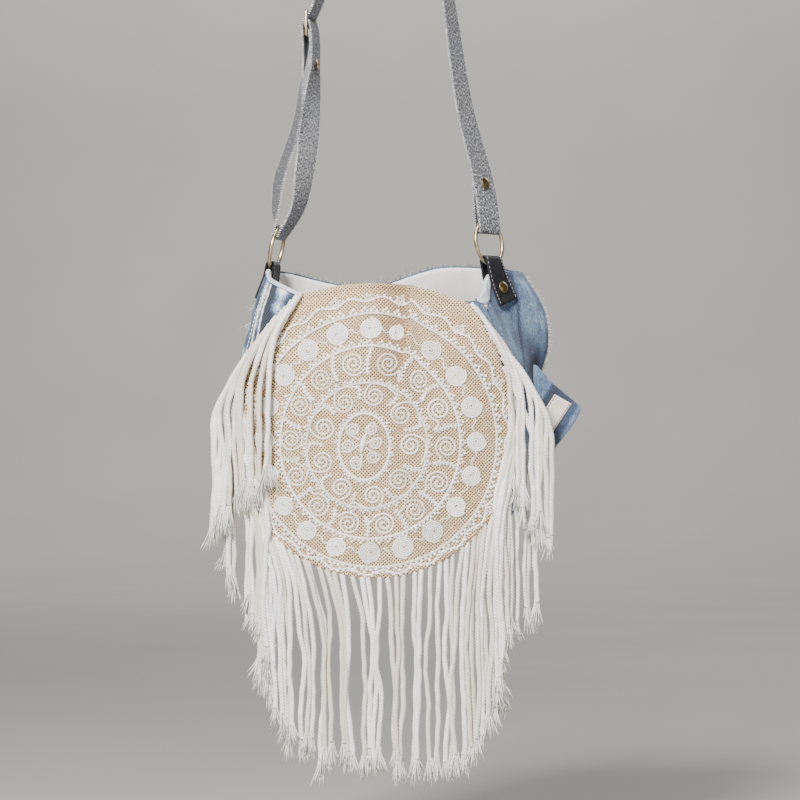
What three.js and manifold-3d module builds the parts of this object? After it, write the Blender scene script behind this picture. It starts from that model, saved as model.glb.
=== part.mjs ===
// Fringe shoulder bag: an open denim pouch with a round burlap mat and cotton fringe on its front,
// hung from a webbing strap. Millimetres, +Z up, front towards -Y, origin under the strap's apex.
import * as THREE from 'three';
import { mergeVertices } from 'three/addons/utils/BufferGeometryUtils.js';
import Module from 'manifold-3d';

const wasm = await Module();
wasm.setup();

// Driving dimensions
const CLEARANCE = 0.4;
const RIM_Z = -705;
const BOTTOM_Z = -967;
const DENIM = 2.0;
const LINING = 1.2;
const MAT_THICK = 1.4;
const MAT_RADIUS = 154;
const MAT_X = -12;
const MAT_Z = -860;
const MAT_HANG_LEVEL = 0.6;
const STRAP_WIDTH = 38;
const STRAP_THICK = 1.6;
const PEG_RADIUS = 20;
const RING_RADIUS = 24;
const RING_WIRE = 2;
const TAB_WIDTH = 29;
const TAB_THICK = 2.2;
const TAB_LEG = 29;
const RIVET_RADIUS = 6.5;
const RIVET_HEIGHT = 2.2;

// Plan of the bag at each level, from the rim (0) to the bottom (1). Corners are named front or
// back, then left or right; middleLeft and middleRight are the gussets' own centre lines.
const LEVELS = [
  {
    w: 0.00, frontLeft: -124, frontRight: 98, middleRight: 114,
    backRight: 148, backLeft: -108, middleLeft: -124, front: -30, back: 34, crown: 12,
  },
  {
    w: 0.20, frontLeft: -141, frontRight: 116, middleRight: 133,
    backRight: 174, backLeft: -121, middleLeft: -144, front: -36, back: 42, crown: 20,
  },
  {
    w: 0.40, frontLeft: -149, frontRight: 124, middleRight: 148,
    backRight: 168, backLeft: -131, middleLeft: -160, front: -38, back: 46, crown: 26,
  },
  {
    w: 0.65, frontLeft: -151, frontRight: 126, middleRight: 150,
    backRight: 158, backLeft: -134, middleLeft: -160, front: -38, back: 46, crown: 25,
  },
  {
    w: 0.85, frontLeft: -142, frontRight: 120, middleRight: 138,
    backRight: 146, backLeft: -128, middleLeft: -150, front: -33, back: 40, crown: 20,
  },
  {
    w: 1.00, frontLeft: -120, frontRight: 104, middleRight: 118,
    backRight: 126, backLeft: -110, middleLeft: -126, front: -20, back: 24, crown: 10,
  },
];
const BACK_CROWN = 0.4;
const GUSSET_Y = -2;

// Height of the rim above RIM_Z at each of the ten plan points, front left corner first
const RIM_RISE = [0, -2, -6, -15, 14, 17, 23, 1, 17, 14];

// Folds pressed into the walls: place along the plan, half width, depth and levels
const FOLDS = [
  { name: 'mat pinch', t: 0.2, spread: 0.026, depth: 9, start: -0.25, end: 0.6 },
  { name: 'left gusset fold', t: 0.94, spread: 0.022, depth: 5, start: 0.1, end: 0.9 },
  { name: 'right gusset fold', t: 0.46, spread: 0.02, depth: 5, start: 0.12, end: 0.9 },
  { name: 'back sag', t: 0.66, spread: 0.05, depth: 6, start: -0.2, end: 0.7 },
];

// Wall panels as stretches of the plan
const PANELS = [
  { name: 'front_panel', from: 0.0, to: 0.3, steps: 18, colour: 0x7f9ab8 },
  { name: 'right_gusset', from: 0.3, to: 0.5, steps: 12, colour: 0x8fa6ba },
  { name: 'back_panel', from: 0.5, to: 0.8, steps: 18, colour: 0x7f9ab8 },
  { name: 'left_gusset', from: 0.8, to: 1.0, steps: 12, colour: 0x6d8db3 },
];
const SEAM_GAP = 0.0008;
const WALL_ROWS = [0, 0.12, 0.3, 0.5, 0.7, 0.88, 1];

// Where the strap hardware sits: place on the plan, the way the plan runs there seen from the bag's
// middle, ring lean (x per unit of height), height of the ring's bottom wire above the wall's edge,
// and whether the wall is hollow there
const HARDWARE = {
  right: { t: 0.4, sense: 1, lean: -0.15, rise: 9.5, hollow: true },
  left: { t: 0.9, sense: -1, lean: 0.22, rise: 3.6, hollow: false },
};
const TAB_GAP = 0.9;
const MAT_GAP = 1.8;

// How far the mat's edge stands out past its round, by degrees from +X, anticlockwise from the front
const MAT_EDGE = [
  { degrees: 0, out: 0 },
  { degrees: 25, out: 0 },
  { degrees: 38, out: 5 },
  { degrees: 52, out: 14 },
  { degrees: 63, out: 7 },
  { degrees: 75, out: 4 },
  { degrees: 90, out: 1.5 },
  { degrees: 107, out: 4.5 },
  { degrees: 118, out: 9 },
  { degrees: 128, out: 4 },
  { degrees: 142, out: 0 },
  { degrees: 360, out: 0 },
];
const MAT_SPOKE_STEP = 7.5;

const SLIDER = { x: -81, y: -2, z: -424, width: 46, reach: 13, bar: 3, slot: 40 };

// Locks of the fringe, by stretch of the mat's edge (degrees from +X, anticlockwise seen from the
// front): the x where the first and last lock hang, their drop, and how far they lie off the mat
const FRINGE = [
  {
    node: 'fringe_left', from: 119, to: 149, locks: 6,
    hangFrom: -124, hangTo: -184, dropFrom: 212, dropTo: 208, layer: 7.5,
  },
  {
    node: 'fringe_left', from: 152, to: 181, locks: 5,
    hangFrom: -172, hangTo: -146, dropFrom: 245, dropTo: 245, layer: 7.5,
  },
  {
    node: 'fringe_bottom', from: 197, to: 343, locks: 21,
    hangFrom: -138, hangTo: 118, dropFrom: 236, dropTo: 232, layer: 0,
  },
  {
    node: 'fringe_right', from: 359, to: 387, locks: 5,
    hangFrom: 134, hangTo: 162, dropFrom: 262, dropTo: 266, layer: 7.5,
  },
  {
    node: 'fringe_right', from: 390, to: 411, locks: 5,
    hangFrom: 176, hangTo: 130, dropFrom: 225, dropTo: 205, layer: 7.5,
  },
];
const HEADERS = [
  { node: 'fringe_left', from: 117, to: 188.5 },
  { node: 'fringe_bottom', from: 189.5, to: 350.5 },
  { node: 'fringe_right', from: 351.5, to: 413 },
];
const HEADER = { width: 4.6, depth: 5.6 };
const LOCK = {
  sides: 5, halfWidth: 6.2, halfDepth: 2.4, steps: 5, settle: 0.45, offset: 6.4, cornerSlope: 0.9,
};
const FRINGE_FLOOR = -1232;

// Folded tail on the right gusset: reach of its free edge at each level
const CUFF = [
  { w: 0.36, reach: 3 },
  { w: 0.43, reach: 21 },
  { w: 0.51, reach: 49 },
  { w: 0.56, reach: 43 },
  { w: 0.62, reach: 34 },
  { w: 0.69, reach: 22 },
];
const CUFF_T = 0.435;
const CUFF_GAP = 1.4;
const CUFF_THICK = 5;
const CUFF_WALL_SLOPE = 0.0022;
const CUFF_DROOP = 0.1;
const CUFF_SWING = 0.25;
const BAND = { inner: 0.36, outer: 0.86, thick: 1 };

// Small helpers
const lerp = THREE.MathUtils.lerp;
const radians = THREE.MathUtils.degToRad;
const vector = (x, y, z) => new THREE.Vector3(x, y, z);

function levelAt(w, column) {
  const last = LEVELS.length - 1;
  const clamped = THREE.MathUtils.clamp(w, 0, 1);
  let i = 0;
  while (i < last - 1 && LEVELS[i + 1].w < clamped) i += 1;
  const slope = (k) => {
    const before = LEVELS[Math.max(k - 1, 0)];
    const after = LEVELS[Math.min(k + 1, last)];
    return (after[column] - before[column]) / (after.w - before.w);
  };
  const [a, b] = [LEVELS[i], LEVELS[i + 1]];
  const span = b.w - a.w;
  const u = (clamped - a.w) / span;
  const ease = u * u * (3 - 2 * u);
  const start = a[column] + slope(i) * span * u;
  const end = b[column] - slope(i + 1) * span * (1 - u);
  return lerp(start, end, ease);
}

const planCache = new Map();
function planCurve(w) {
  const key = w.toFixed(4);
  if (!planCache.has(key)) {
    const at = (column) => levelAt(w, column);
    const crown = at('crown');
    const [left, right] = [at('frontLeft'), at('frontRight')];
    const [backLeft, backRight] = [at('backLeft'), at('backRight')];
    const [front, back] = [at('front'), at('back')];
    planCache.set(key, new THREE.CatmullRomCurve3([
      vector(left, front, 0),
      vector(lerp(left, right, 1 / 3), front - crown, 0),
      vector(lerp(left, right, 2 / 3), front - crown, 0),
      vector(right, front, 0),
      vector(at('middleRight'), GUSSET_Y, 0),
      vector(backRight, back, 0),
      vector(lerp(backRight, backLeft, 1 / 3), back + BACK_CROWN * crown, 0),
      vector(lerp(backRight, backLeft, 2 / 3), back + BACK_CROWN * crown, 0),
      vector(backLeft, back, 0),
      vector(at('middleLeft'), GUSSET_Y, 0),
    ], true));
  }
  return planCache.get(key);
}

const rimCurve = new THREE.CatmullRomCurve3(RIM_RISE.map((rise, i) => vector(i * 40, rise, 0)), true);
const wrap = (t) => t - Math.floor(t);
const rimZ = (t) => RIM_Z + rimCurve.getPoint(wrap(t)).y;

function foldDepth(t, w) {
  let depth = 0;
  for (const fold of FOLDS) {
    const away = Math.abs(wrap(t - fold.t + 0.5) - 0.5) / fold.spread;
    const along = (w - fold.start) / (fold.end - fold.start);
    if (along > 0 && along < 1) depth += fold.depth * Math.exp(-away * away) * Math.sin(Math.PI * along);
  }
  return depth;
}

function planPoint(t, w) {
  const curve = planCurve(w);
  const point = curve.getPoint(wrap(t));
  const along = curve.getTangent(wrap(t));
  const depth = foldDepth(t, w);
  return vector(point.x - along.y * depth, point.y + along.x * depth, 0);
}

// Outer face of the wall at a place on the plan and a level
function wallPoint(t, w, bottom = BOTTOM_Z) {
  return planPoint(t, w).setZ(lerp(rimZ(t), bottom, w));
}

function offsetPoint(surface, a, b, offset, stepA, stepB) {
  const alongA = surface(a + stepA, b).sub(surface(a - stepA, b));
  const alongB = surface(a, b + stepB).sub(surface(a, b - stepB));
  return surface(a, b).addScaledVector(alongB.cross(alongA).normalize(), offset);
}
const wallOffset = (t, w, offset) => offsetPoint(wallPoint, t, w, offset, 0.003, 0.01);

// Closed solid from corner points and faces, turned so that its faces point out
function solid(points, faces) {
  const index = [];
  for (const face of faces) {
    for (let k = 1; k + 1 < face.length; k += 1) index.push(face[0], face[k], face[k + 1]);
  }
  let volume = 0;
  for (let k = 0; k < index.length; k += 3) {
    const [a, b, c] = [points[index[k]], points[index[k + 1]], points[index[k + 2]]];
    volume += a.dot(b.clone().cross(c));
  }
  if (volume < 0) index.reverse();
  const geometry = new THREE.BufferGeometry();
  const numbers = points.flatMap((point) => point.toArray());
  geometry.setAttribute('position', new THREE.Float32BufferAttribute(numbers, 3));
  geometry.setIndex(index);
  return geometry;
}

// Sheet between two grids of points with the same rows and columns
function sheet(outer, inner) {
  const rows = outer.length;
  const columns = outer[0].length;
  const end = columns - 1;
  const id = (side, i, j) => side * rows * columns + i * columns + j;
  const faces = [];
  for (let i = 0; i + 1 < rows; i += 1) {
    for (let j = 0; j + 1 < columns; j += 1) {
      faces.push([id(0, i, j), id(0, i, j + 1), id(0, i + 1, j + 1), id(0, i + 1, j)]);
      faces.push([id(1, i, j), id(1, i + 1, j), id(1, i + 1, j + 1), id(1, i, j + 1)]);
    }
  }
  for (let i = 0; i + 1 < rows; i += 1) {
    faces.push([id(0, i, 0), id(0, i + 1, 0), id(1, i + 1, 0), id(1, i, 0)]);
    faces.push([id(0, i + 1, end), id(0, i, end), id(1, i, end), id(1, i + 1, end)]);
  }
  for (let j = 0; j + 1 < columns; j += 1) {
    faces.push([id(0, 0, j + 1), id(0, 0, j), id(1, 0, j), id(1, 0, j + 1)]);
    faces.push([id(0, rows - 1, j), id(0, rows - 1, j + 1), id(1, rows - 1, j + 1), id(1, rows - 1, j)]);
  }
  return solid([...outer.flat(), ...inner.flat()], faces);
}

// Rings of points lofted in turn, with a fan closing each end
function loft(rings) {
  const count = rings[0].length;
  const points = rings.flat();
  const faces = [];
  for (let i = 0; i + 1 < rings.length; i += 1) {
    for (let j = 0; j < count; j += 1) {
      const k = (j + 1) % count;
      faces.push([i * count + j, i * count + k, (i + 1) * count + k, (i + 1) * count + j]);
    }
  }
  const centre = (ring) => ring.reduce((sum, p) => sum.add(p), vector(0, 0, 0)).divideScalar(count);
  const last = (rings.length - 1) * count;
  const first = points.push(centre(rings[0])) - 1;
  const end = points.push(centre(rings.at(-1))) - 1;
  for (let j = 0; j < count; j += 1) {
    const k = (j + 1) % count;
    faces.push([k, j, first]);
    faces.push([last + j, last + k, end]);
  }
  return solid(points, faces);
}

const range = (count, from, to) => Array.from({ length: count + 1 }, (_, i) => lerp(from, to, i / count));

function toManifold(geometry) {
  const bare = geometry.clone();
  bare.deleteAttribute('normal');
  bare.deleteAttribute('uv');
  const merged = mergeVertices(bare, 1e-4);
  return new wasm.Manifold(new wasm.Mesh({
    numProp: 3,
    vertProperties: Float32Array.from(merged.attributes.position.array),
    triVerts: Uint32Array.from(merged.index.array),
  }));
}

function fromManifold(body) {
  const mesh = body.getMesh();
  const geometry = new THREE.BufferGeometry();
  geometry.setAttribute('position', new THREE.Float32BufferAttribute(mesh.vertProperties, 3));
  geometry.setIndex(Array.from(mesh.triVerts));
  return geometry;
}

const bag = new THREE.Group();
function add(name, geometry, colour, roughness, metalness = 0) {
  const material = new THREE.MeshStandardMaterial({ color: colour, roughness, metalness });
  const mesh = new THREE.Mesh(geometry, material);
  mesh.name = name;
  bag.add(mesh);
  return mesh;
}
const BRASS = 0xb39b62;
const LEATHER = 0x17181a;
const COTTON = 0xf3efe4;
const BURLAP = 0xc9a77c;
const WEBBING = 0x7d8594;

// Denim walls
for (const panel of PANELS) {
  const places = range(panel.steps, panel.from, panel.to);
  places[0] += SEAM_GAP;
  places[panel.steps] -= SEAM_GAP;
  const grid = (offset) => WALL_ROWS.map((w) => places.map((t) => wallOffset(t, w, offset)));
  add(panel.name, sheet(grid(0), grid(-DENIM)), panel.colour, 0.85);
}

// Base inside the foot of the walls, and the lining pouch
const PLAN_STEPS = 60;
const around = range(PLAN_STEPS, 0, 1).slice(0, -1);
const planRing = (inset, w, z) => around.map((t) => wallOffset(t, w, -inset).setZ(z));
add('base_panel', loft([
  planRing(DENIM + CLEARANCE, 1, BOTTOM_Z),
  planRing(DENIM + CLEARANCE, 1, BOTTOM_Z + DENIM),
]), 0x6f88a6, 0.85);

const LINING_ROWS = WALL_ROWS.filter((w) => w < 0.99);
const liningRing = (inset, w) => around.map((t) => wallOffset(t, w, -inset));
const outerInset = DENIM + CLEARANCE;
const innerInset = outerInset + LINING;
const liningFloor = BOTTOM_Z + DENIM + CLEARANCE;
add('lining', loft([
  planRing(innerInset, 1, liningFloor + LINING),
  ...LINING_ROWS.toReversed().map((w) => liningRing(innerInset, w)),
  ...LINING_ROWS.map((w) => liningRing(outerInset, w)),
  planRing(outerInset, 1, liningFloor),
]), 0xece9e2, 0.9);

// Burlap mat: measured along the cloth from its centre, laid on the front and hung past the bottom
const matLevel = (z) => (z - RIM_Z) / (BOTTOM_Z - RIM_Z);
const MAT_SAMPLES = range(120, -0.09, 0.39);
const profileCache = new Map();
function matProfile(level) {
  const key = level.toFixed(4);
  if (!profileCache.has(key)) {
    const points = MAT_SAMPLES.map((t) => planPoint(t, level));
    const lengths = [0];
    let zero = 0;
    for (let i = 1; i < points.length; i += 1) {
      lengths.push(lengths[i - 1] + points[i].distanceTo(points[i - 1]));
      const crosses = points[i - 1].x < MAT_X && points[i].x >= MAT_X;
      if (crosses) zero = lengths[i];
    }
    profileCache.set(key, { points, lengths: lengths.map((length) => length - zero) });
  }
  return profileCache.get(key);
}

function matPoint(across, up) {
  const z = MAT_Z + up;
  const profile = matProfile(THREE.MathUtils.clamp(matLevel(z), 0, MAT_HANG_LEVEL));
  let i = 1;
  while (i < profile.lengths.length - 1 && profile.lengths[i] < across) i += 1;
  const span = profile.lengths[i] - profile.lengths[i - 1];
  const share = (across - profile.lengths[i - 1]) / span;
  return profile.points[i - 1].clone().lerp(profile.points[i], share).setZ(z);
}
const matOffset = (across, up, offset) => offsetPoint(matPoint, across, up, -offset, 4, 4);
const matPolar = (radius, degrees, offset) => {
  const angle = radians(degrees);
  return matOffset(radius * Math.cos(angle), radius * Math.sin(angle), offset);
};

function matReach(degrees) {
  const turn = wrap(degrees / 360) * 360;
  let i = 1;
  while (MAT_EDGE[i].degrees < turn) i += 1;
  const [a, b] = [MAT_EDGE[i - 1], MAT_EDGE[i]];
  const share = (turn - a.degrees) / (b.degrees - a.degrees);
  return MAT_RADIUS + lerp(a.out, b.out, THREE.MathUtils.smoothstep(share, 0, 1));
}

const MAT_RINGS = [0.2, 0.42, 0.66, 0.86, 1];
function matSide(offset) {
  const spokes = range(360 / MAT_SPOKE_STEP, 0, 360).slice(0, -1);
  const place = (share, degrees) => matPolar(share * matReach(degrees), degrees, offset);
  return MAT_RINGS.map((share) => spokes.map((degrees) => place(share, degrees)));
}
const MAT_BACK = MAT_GAP;
const MAT_FACE = MAT_BACK + MAT_THICK;
add('front_disc', loft([...matSide(MAT_FACE), ...matSide(MAT_BACK).toReversed()]), BURLAP, 0.95);

// Fringe: a header round the mat's edge with hanging locks fused to it
const FACING = -0.6;
function frontY(x, z, offset) {
  const level = THREE.MathUtils.clamp(matLevel(z), 0, MAT_HANG_LEVEL);
  const { points } = matProfile(level);
  const faced = [];
  for (let i = 1; i + 1 < points.length; i += 1) {
    const along = points[i + 1].clone().sub(points[i - 1]).normalize();
    const out = vector(along.y, -along.x, 0);
    if (out.y < FACING) faced.push(points[i].clone().addScaledVector(out, offset));
  }
  const inside = THREE.MathUtils.clamp(x, faced[0].x, faced.at(-1).x);
  let i = 1;
  while (i < faced.length - 1 && faced[i].x < inside) i += 1;
  const share = (inside - faced[i - 1].x) / (faced[i].x - faced[i - 1].x);
  return lerp(faced[i - 1].y, faced[i].y, share) + Math.abs(x - inside) * LOCK.cornerSlope;
}

function lock(start, hangX, drop, layer) {
  const rings = range(LOCK.steps, 0, 1).map((s) => {
    const z = start.z - s * drop;
    const swing = Math.sin(Math.min(s / LOCK.settle, 1) * Math.PI / 2);
    const x = lerp(start.x, hangX, swing);
    const y = s === 0 ? start.y : Math.min(frontY(x, z, LOCK.offset + layer), start.y);
    const slim = s === 0 ? 0.5 : 1;
    return range(LOCK.sides, 0, 2 * Math.PI).slice(0, -1).map((angle) => vector(
      x + slim * LOCK.halfWidth * Math.cos(angle),
      y + slim * LOCK.halfDepth * Math.sin(angle),
      z,
    ));
  });
  return loft(rings);
}

const fringe = new Map();
for (const header of HEADERS) {
  const first = Math.ceil(header.from / MAT_SPOKE_STEP);
  const last = Math.floor(header.to / MAT_SPOKE_STEP);
  const spokes = range(last - first, first, last).map((k) => k * MAT_SPOKE_STEP);
  const angles = [header.from, ...spokes, header.to];
  const grid = (offset) => [1.5 * CLEARANCE, HEADER.width]
    .map((out) => angles.map((degrees) => matPolar(matReach(degrees) + out, degrees, offset)));
  fringe.set(header.node, toManifold(sheet(grid(MAT_BACK + HEADER.depth), grid(MAT_BACK))));
}
for (const row of FRINGE) {
  for (let i = 0; i < row.locks; i += 1) {
    const share = i / (row.locks - 1);
    const degrees = lerp(row.from, row.to, share);
    const start = matPolar(matReach(degrees) + HEADER.width / 2, degrees, LOCK.offset);
    const reach = (Math.cos(radians(degrees)) - Math.cos(radians(row.from)))
      / (Math.cos(radians(row.to)) - Math.cos(radians(row.from)));
    const hangX = lerp(row.hangFrom, row.hangTo, reach);
    const drop = Math.min(lerp(row.dropFrom, row.dropTo, share), start.z - FRINGE_FLOOR);
    const strand = toManifold(lock(start, hangX, drop, row.layer));
    fringe.set(row.node, fringe.get(row.node).add(strand));
  }
}
for (const [name, body] of fringe) add(name, fromManifold(body), COTTON, 0.95);

// Folded tail with its stitched band
function cuffGrid(offset, from, to, columns) {
  return CUFF.map(({ w, reach }) => {
    const root = wallOffset(CUFF_T + offset * CUFF_WALL_SLOPE, w, CUFF_GAP);
    return range(columns, from, to).map((share) => vector(
      root.x + reach * share,
      root.y - CUFF_SWING * reach * share,
      root.z - CUFF_DROOP * reach * share,
    ));
  });
}
const cuffFace = (side) => cuffGrid(side * CUFF_THICK / 2, 0, 1, 4);
add('side_cuff', sheet(cuffFace(-1), cuffFace(1)), 0x5f7a99, 0.85);
const bandFace = -CUFF_THICK / 2 - CLEARANCE;
const bandGrid = (offset) => cuffGrid(offset, BAND.inner, BAND.outer, 2).slice(1, -1);
add('cuff_band', sheet(bandGrid(bandFace - BAND.thick), bandGrid(bandFace)), 0xd9cdb8, 0.9);

// Rings and tabs at the two side rims
function hardwareFrame({ t, sense, lean, rise, hollow }) {
  const across = planPoint(t + 0.01, 0).sub(planPoint(t - 0.01, 0)).normalize().multiplyScalar(sense);
  const turn = THREE.MathUtils.radToDeg(Math.atan2(across.y, across.x));
  const up = vector(lean, 0, 1).normalize();
  const edge = wallOffset(t, 0, -(DENIM + CLEARANCE + LINING) / 2);
  const bottom = edge.clone().setZ(edge.z + rise);
  const outward = across.clone().cross(up).normalize();
  const upright = outward.clone().cross(across).normalize();
  const at = (out, height) => bottom.clone().addScaledVector(outward, out).addScaledVector(upright, height);
  const speed = wallPoint(t + 0.01, 0).distanceTo(wallPoint(t - 0.01, 0)) / 0.02;
  const wallAt = (s, w, out) => wallOffset(t + sense * s / speed, w, out);
  return { t, hollow, sense, across, outward, at, turn, wallAt };
}

function ring(name, frame) {
  const profile = range(6, 0, 2 * Math.PI).map((angle) => new THREE.Vector2(
    RING_RADIUS + RING_WIRE * Math.cos(angle),
    RING_WIRE * Math.sin(angle),
  ));
  const mesh = add(name, new THREE.LatheGeometry(profile, 28), BRASS, 0.35, 1);
  mesh.position.copy(frame.at(0, RING_RADIUS));
  mesh.quaternion.setFromUnitVectors(vector(0, 1, 0), frame.outward);
}

// Distance from a ring's centre to a straight fold of this width that bears on the ring's inside
const foldSeat = (width) => Math.sqrt((RING_RADIUS - RING_WIRE) ** 2 - (width / 2) ** 2) - CLEARANCE;

// Place on a tab's outer leg: it follows a round wall and lies straight across a hollow one
function tabLeg(frame, s, w, out) {
  if (!frame.hollow) return frame.wallAt(s, w, out);
  const [near, far] = [-TAB_WIDTH / 2, TAB_WIDTH / 2].map((edge) => frame.wallAt(edge, w, out));
  return near.lerp(far, s / TAB_WIDTH + 0.5);
}

function tab(name, frame) {
  const places = range(4, -TAB_WIDTH / 2, TAB_WIDTH / 2);
  const level = frame.wallLevel;
  const foldRadius = RING_WIRE + TAB_GAP + TAB_THICK / 2;
  const foldHeight = RING_RADIUS - foldSeat(TAB_WIDTH) - RING_WIRE - TAB_GAP;
  const legOut = TAB_GAP + TAB_THICK / 2;
  const legIn = -(DENIM + CLEARANCE + LINING + 2.5 * TAB_GAP + TAB_THICK / 2);
  const outerRow = (w) => (half) => places.map((s) => tabLeg(frame, s, w, legOut + half));
  const innerRow = (w) => (half) => places.map((s) => frame.wallAt(s, w, legIn - half));
  const foldRow = (angle) => (half) => places.map((s) => frame
    .at(
      frame.sense * (foldRadius + half) * Math.cos(angle),
      foldHeight + (foldRadius + half) * Math.sin(angle),
    )
    .addScaledVector(frame.across, s));
  const legs = range(3, level(TAB_LEG), level(4));
  const rows = [
    ...legs.map((w) => outerRow(w)),
    ...range(6, 0, Math.PI).map((angle) => foldRow(angle)),
    ...legs.toReversed().map((w) => innerRow(w)),
  ];
  const side = (half) => rows.map((row) => row(half));
  add(name, sheet(side(TAB_THICK / 2), side(-TAB_THICK / 2)), LEATHER, 0.5);
}

const frames = {};
for (const [side, spec] of Object.entries(HARDWARE)) {
  const frame = hardwareFrame(spec);
  frame.wallLevel = (drop) => drop / (rimZ(spec.t) - BOTTOM_Z);
  frames[side] = frame;
  ring(`${side}_ring`, frame);
  tab(`${side}_tab`, frame);
}

// Rivet caps, flat side on the face that carries them
function rivet(name, seat, direction) {
  const profile = [
    new THREE.Vector2(0, 0),
    new THREE.Vector2(RIVET_RADIUS, 0),
    new THREE.Vector2(RIVET_RADIUS, RIVET_HEIGHT * 0.4),
    new THREE.Vector2(RIVET_RADIUS * 0.72, RIVET_HEIGHT * 0.9),
    new THREE.Vector2(0, RIVET_HEIGHT),
  ];
  const mesh = add(name, new THREE.LatheGeometry(profile, 12), 0x8a7444, 0.4, 1);
  mesh.position.copy(seat);
  mesh.quaternion.setFromUnitVectors(vector(0, 1, 0), direction.clone().normalize());
}
const TAB_RIVET_DROP = 13;
for (const side of ['left', 'right']) {
  const frame = frames[side];
  const w = frame.wallLevel(TAB_RIVET_DROP);
  const seat = tabLeg(frame, 0, w, TAB_GAP + TAB_THICK + 1.5 * CLEARANCE);
  rivet(`tab_rivet_${side}`, seat, seat.clone().sub(tabLeg(frame, 0, w, 0)));
}

// Strap: its route from the short end on the right ring, over the top, through the slider, round the
// left ring and back up to the slider's middle bar. Each stop is a place and the turn of its width.
const strapFold = RING_WIRE + CLEARANCE + STRAP_THICK / 2;
const strapSeat = RING_RADIUS + foldSeat(STRAP_WIDTH) + RING_WIRE + CLEARANCE;
const LAYER = STRAP_THICK + CLEARANCE;
const stops = [];
const stop = (point, turn) => stops.push({ point, turn });
const { right, left } = frames;
const RIVET_HEIGHT_RIGHT = 88;

stop(right.at(-LAYER / 2, RIVET_HEIGHT_RIGHT + 16), right.turn);
stop(right.at(-LAYER / 2, RIVET_HEIGHT_RIGHT), right.turn);
stop(right.at(-strapFold, strapSeat + 14), right.turn);
for (const angle of range(6, Math.PI, 2 * Math.PI)) {
  stop(right.at(strapFold * Math.cos(angle), strapSeat + strapFold * Math.sin(angle)), right.turn);
}
stop(right.at(strapFold, strapSeat + 14), right.turn);
stop(right.at(LAYER / 2, RIVET_HEIGHT_RIGHT), right.turn);
stop(vector(84, -1, -510), 60);
stop(vector(68, 0, -403), 68);
stop(vector(47, 0, -250), 80);
stop(vector(27, 0, -90), 90);
const pegLine = PEG_RADIUS + STRAP_THICK / 2;
for (const angle of range(8, 0, Math.PI)) {
  stop(vector(pegLine * Math.cos(angle), 0, pegLine * Math.sin(angle) - PEG_RADIUS), 90);
}
stop(vector(-28, 0, -90), 90);
stop(vector(-48, 0, -250), 82);
stop(vector(-67, -1, -380), 77);

const sliderOut = vector(Math.sin(radians(left.turn)), -Math.cos(radians(left.turn)), 0);
const sliderCentre = vector(SLIDER.x, SLIDER.y, SLIDER.z);
const sliderAt = (out, height) => sliderCentre.clone()
  .addScaledVector(sliderOut, out)
  .add(vector(0, 0, height));
const barFold = SLIDER.bar / 2 + CLEARANCE + STRAP_THICK / 2 + 0.3;
const behind = -(barFold + LAYER + 0.2);
stop(sliderAt(3.6, SLIDER.reach), left.turn);
stop(sliderAt(0.4, 7.6), left.turn);
stop(sliderAt(behind + 1.6, 4.4), left.turn);
stop(sliderAt(behind, 0), left.turn);
stop(sliderAt(behind, -SLIDER.reach), left.turn);
const backStrand = [
  [-91, -490, 97], [-95, -525, 104], [-103, -554, 108], [-114, -587, 110], [-118.5, -622, 104],
];
for (const [x, z, turn] of backStrand) stop(vector(x, SLIDER.y, z), turn);
for (const angle of range(6, Math.PI, 2 * Math.PI)) {
  stop(left.at(strapFold * Math.cos(angle), strapSeat + strapFold * Math.sin(angle)), left.turn);
}
const frontStrand = [[-95, -622, 70], [-88, -585, 60], [-83, -541, 57], [-79, -500, 66]];
for (const [x, z, turn] of frontStrand) stop(vector(x, SLIDER.y, z), turn);
const RIVET_DROP_LEFT = 44;
stop(sliderAt(barFold + LAYER, -RIVET_DROP_LEFT), left.turn);
stop(sliderAt(barFold + LAYER, -SLIDER.reach), left.turn);
for (const angle of range(5, 0, Math.PI)) {
  stop(sliderAt(barFold * Math.cos(angle), barFold * Math.sin(angle)), left.turn);
}
stop(sliderAt(0.2, -6.5), left.turn);
stop(sliderAt(barFold, -SLIDER.reach), left.turn);
stop(sliderAt(barFold, -RIVET_DROP_LEFT - 12), left.turn);

const route = new THREE.CatmullRomCurve3(stops.map(({ point }) => point));
const STOP_STEPS = 2;
const stations = range((stops.length - 1) * STOP_STEPS, 0, 1);
function strapSide(half) {
  return stations.map((u, i) => {
    const place = Math.min(u * (stops.length - 1), stops.length - 1.000001);
    const k = Math.floor(place);
    const turn = radians(lerp(stops[k].turn, stops[k + 1].turn, place - k));
    const across = vector(Math.cos(turn), Math.sin(turn), 0);
    const along = route.getPoint(stations[Math.min(i + 1, stations.length - 1)])
      .sub(route.getPoint(stations[Math.max(i - 1, 0)]));
    const face = along.cross(across).normalize();
    const centre = route.getPoint(u).addScaledVector(face, half);
    return [-0.5, 0.5].map((edge) => centre.clone().addScaledVector(across, edge * STRAP_WIDTH));
  });
}
add('strap', sheet(strapSide(STRAP_THICK / 2), strapSide(-STRAP_THICK / 2)), WEBBING, 0.85);
const strapFace = LAYER / 2 + STRAP_THICK / 2 + 2 * CLEARANCE;
rivet('strap_rivet_right', right.at(strapFace, RIVET_HEIGHT_RIGHT), right.outward);
const strapFaceLeft = barFold + LAYER + STRAP_THICK / 2 + CLEARANCE;
rivet('strap_rivet_left', sliderAt(strapFaceLeft, -RIVET_DROP_LEFT), sliderOut);

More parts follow.
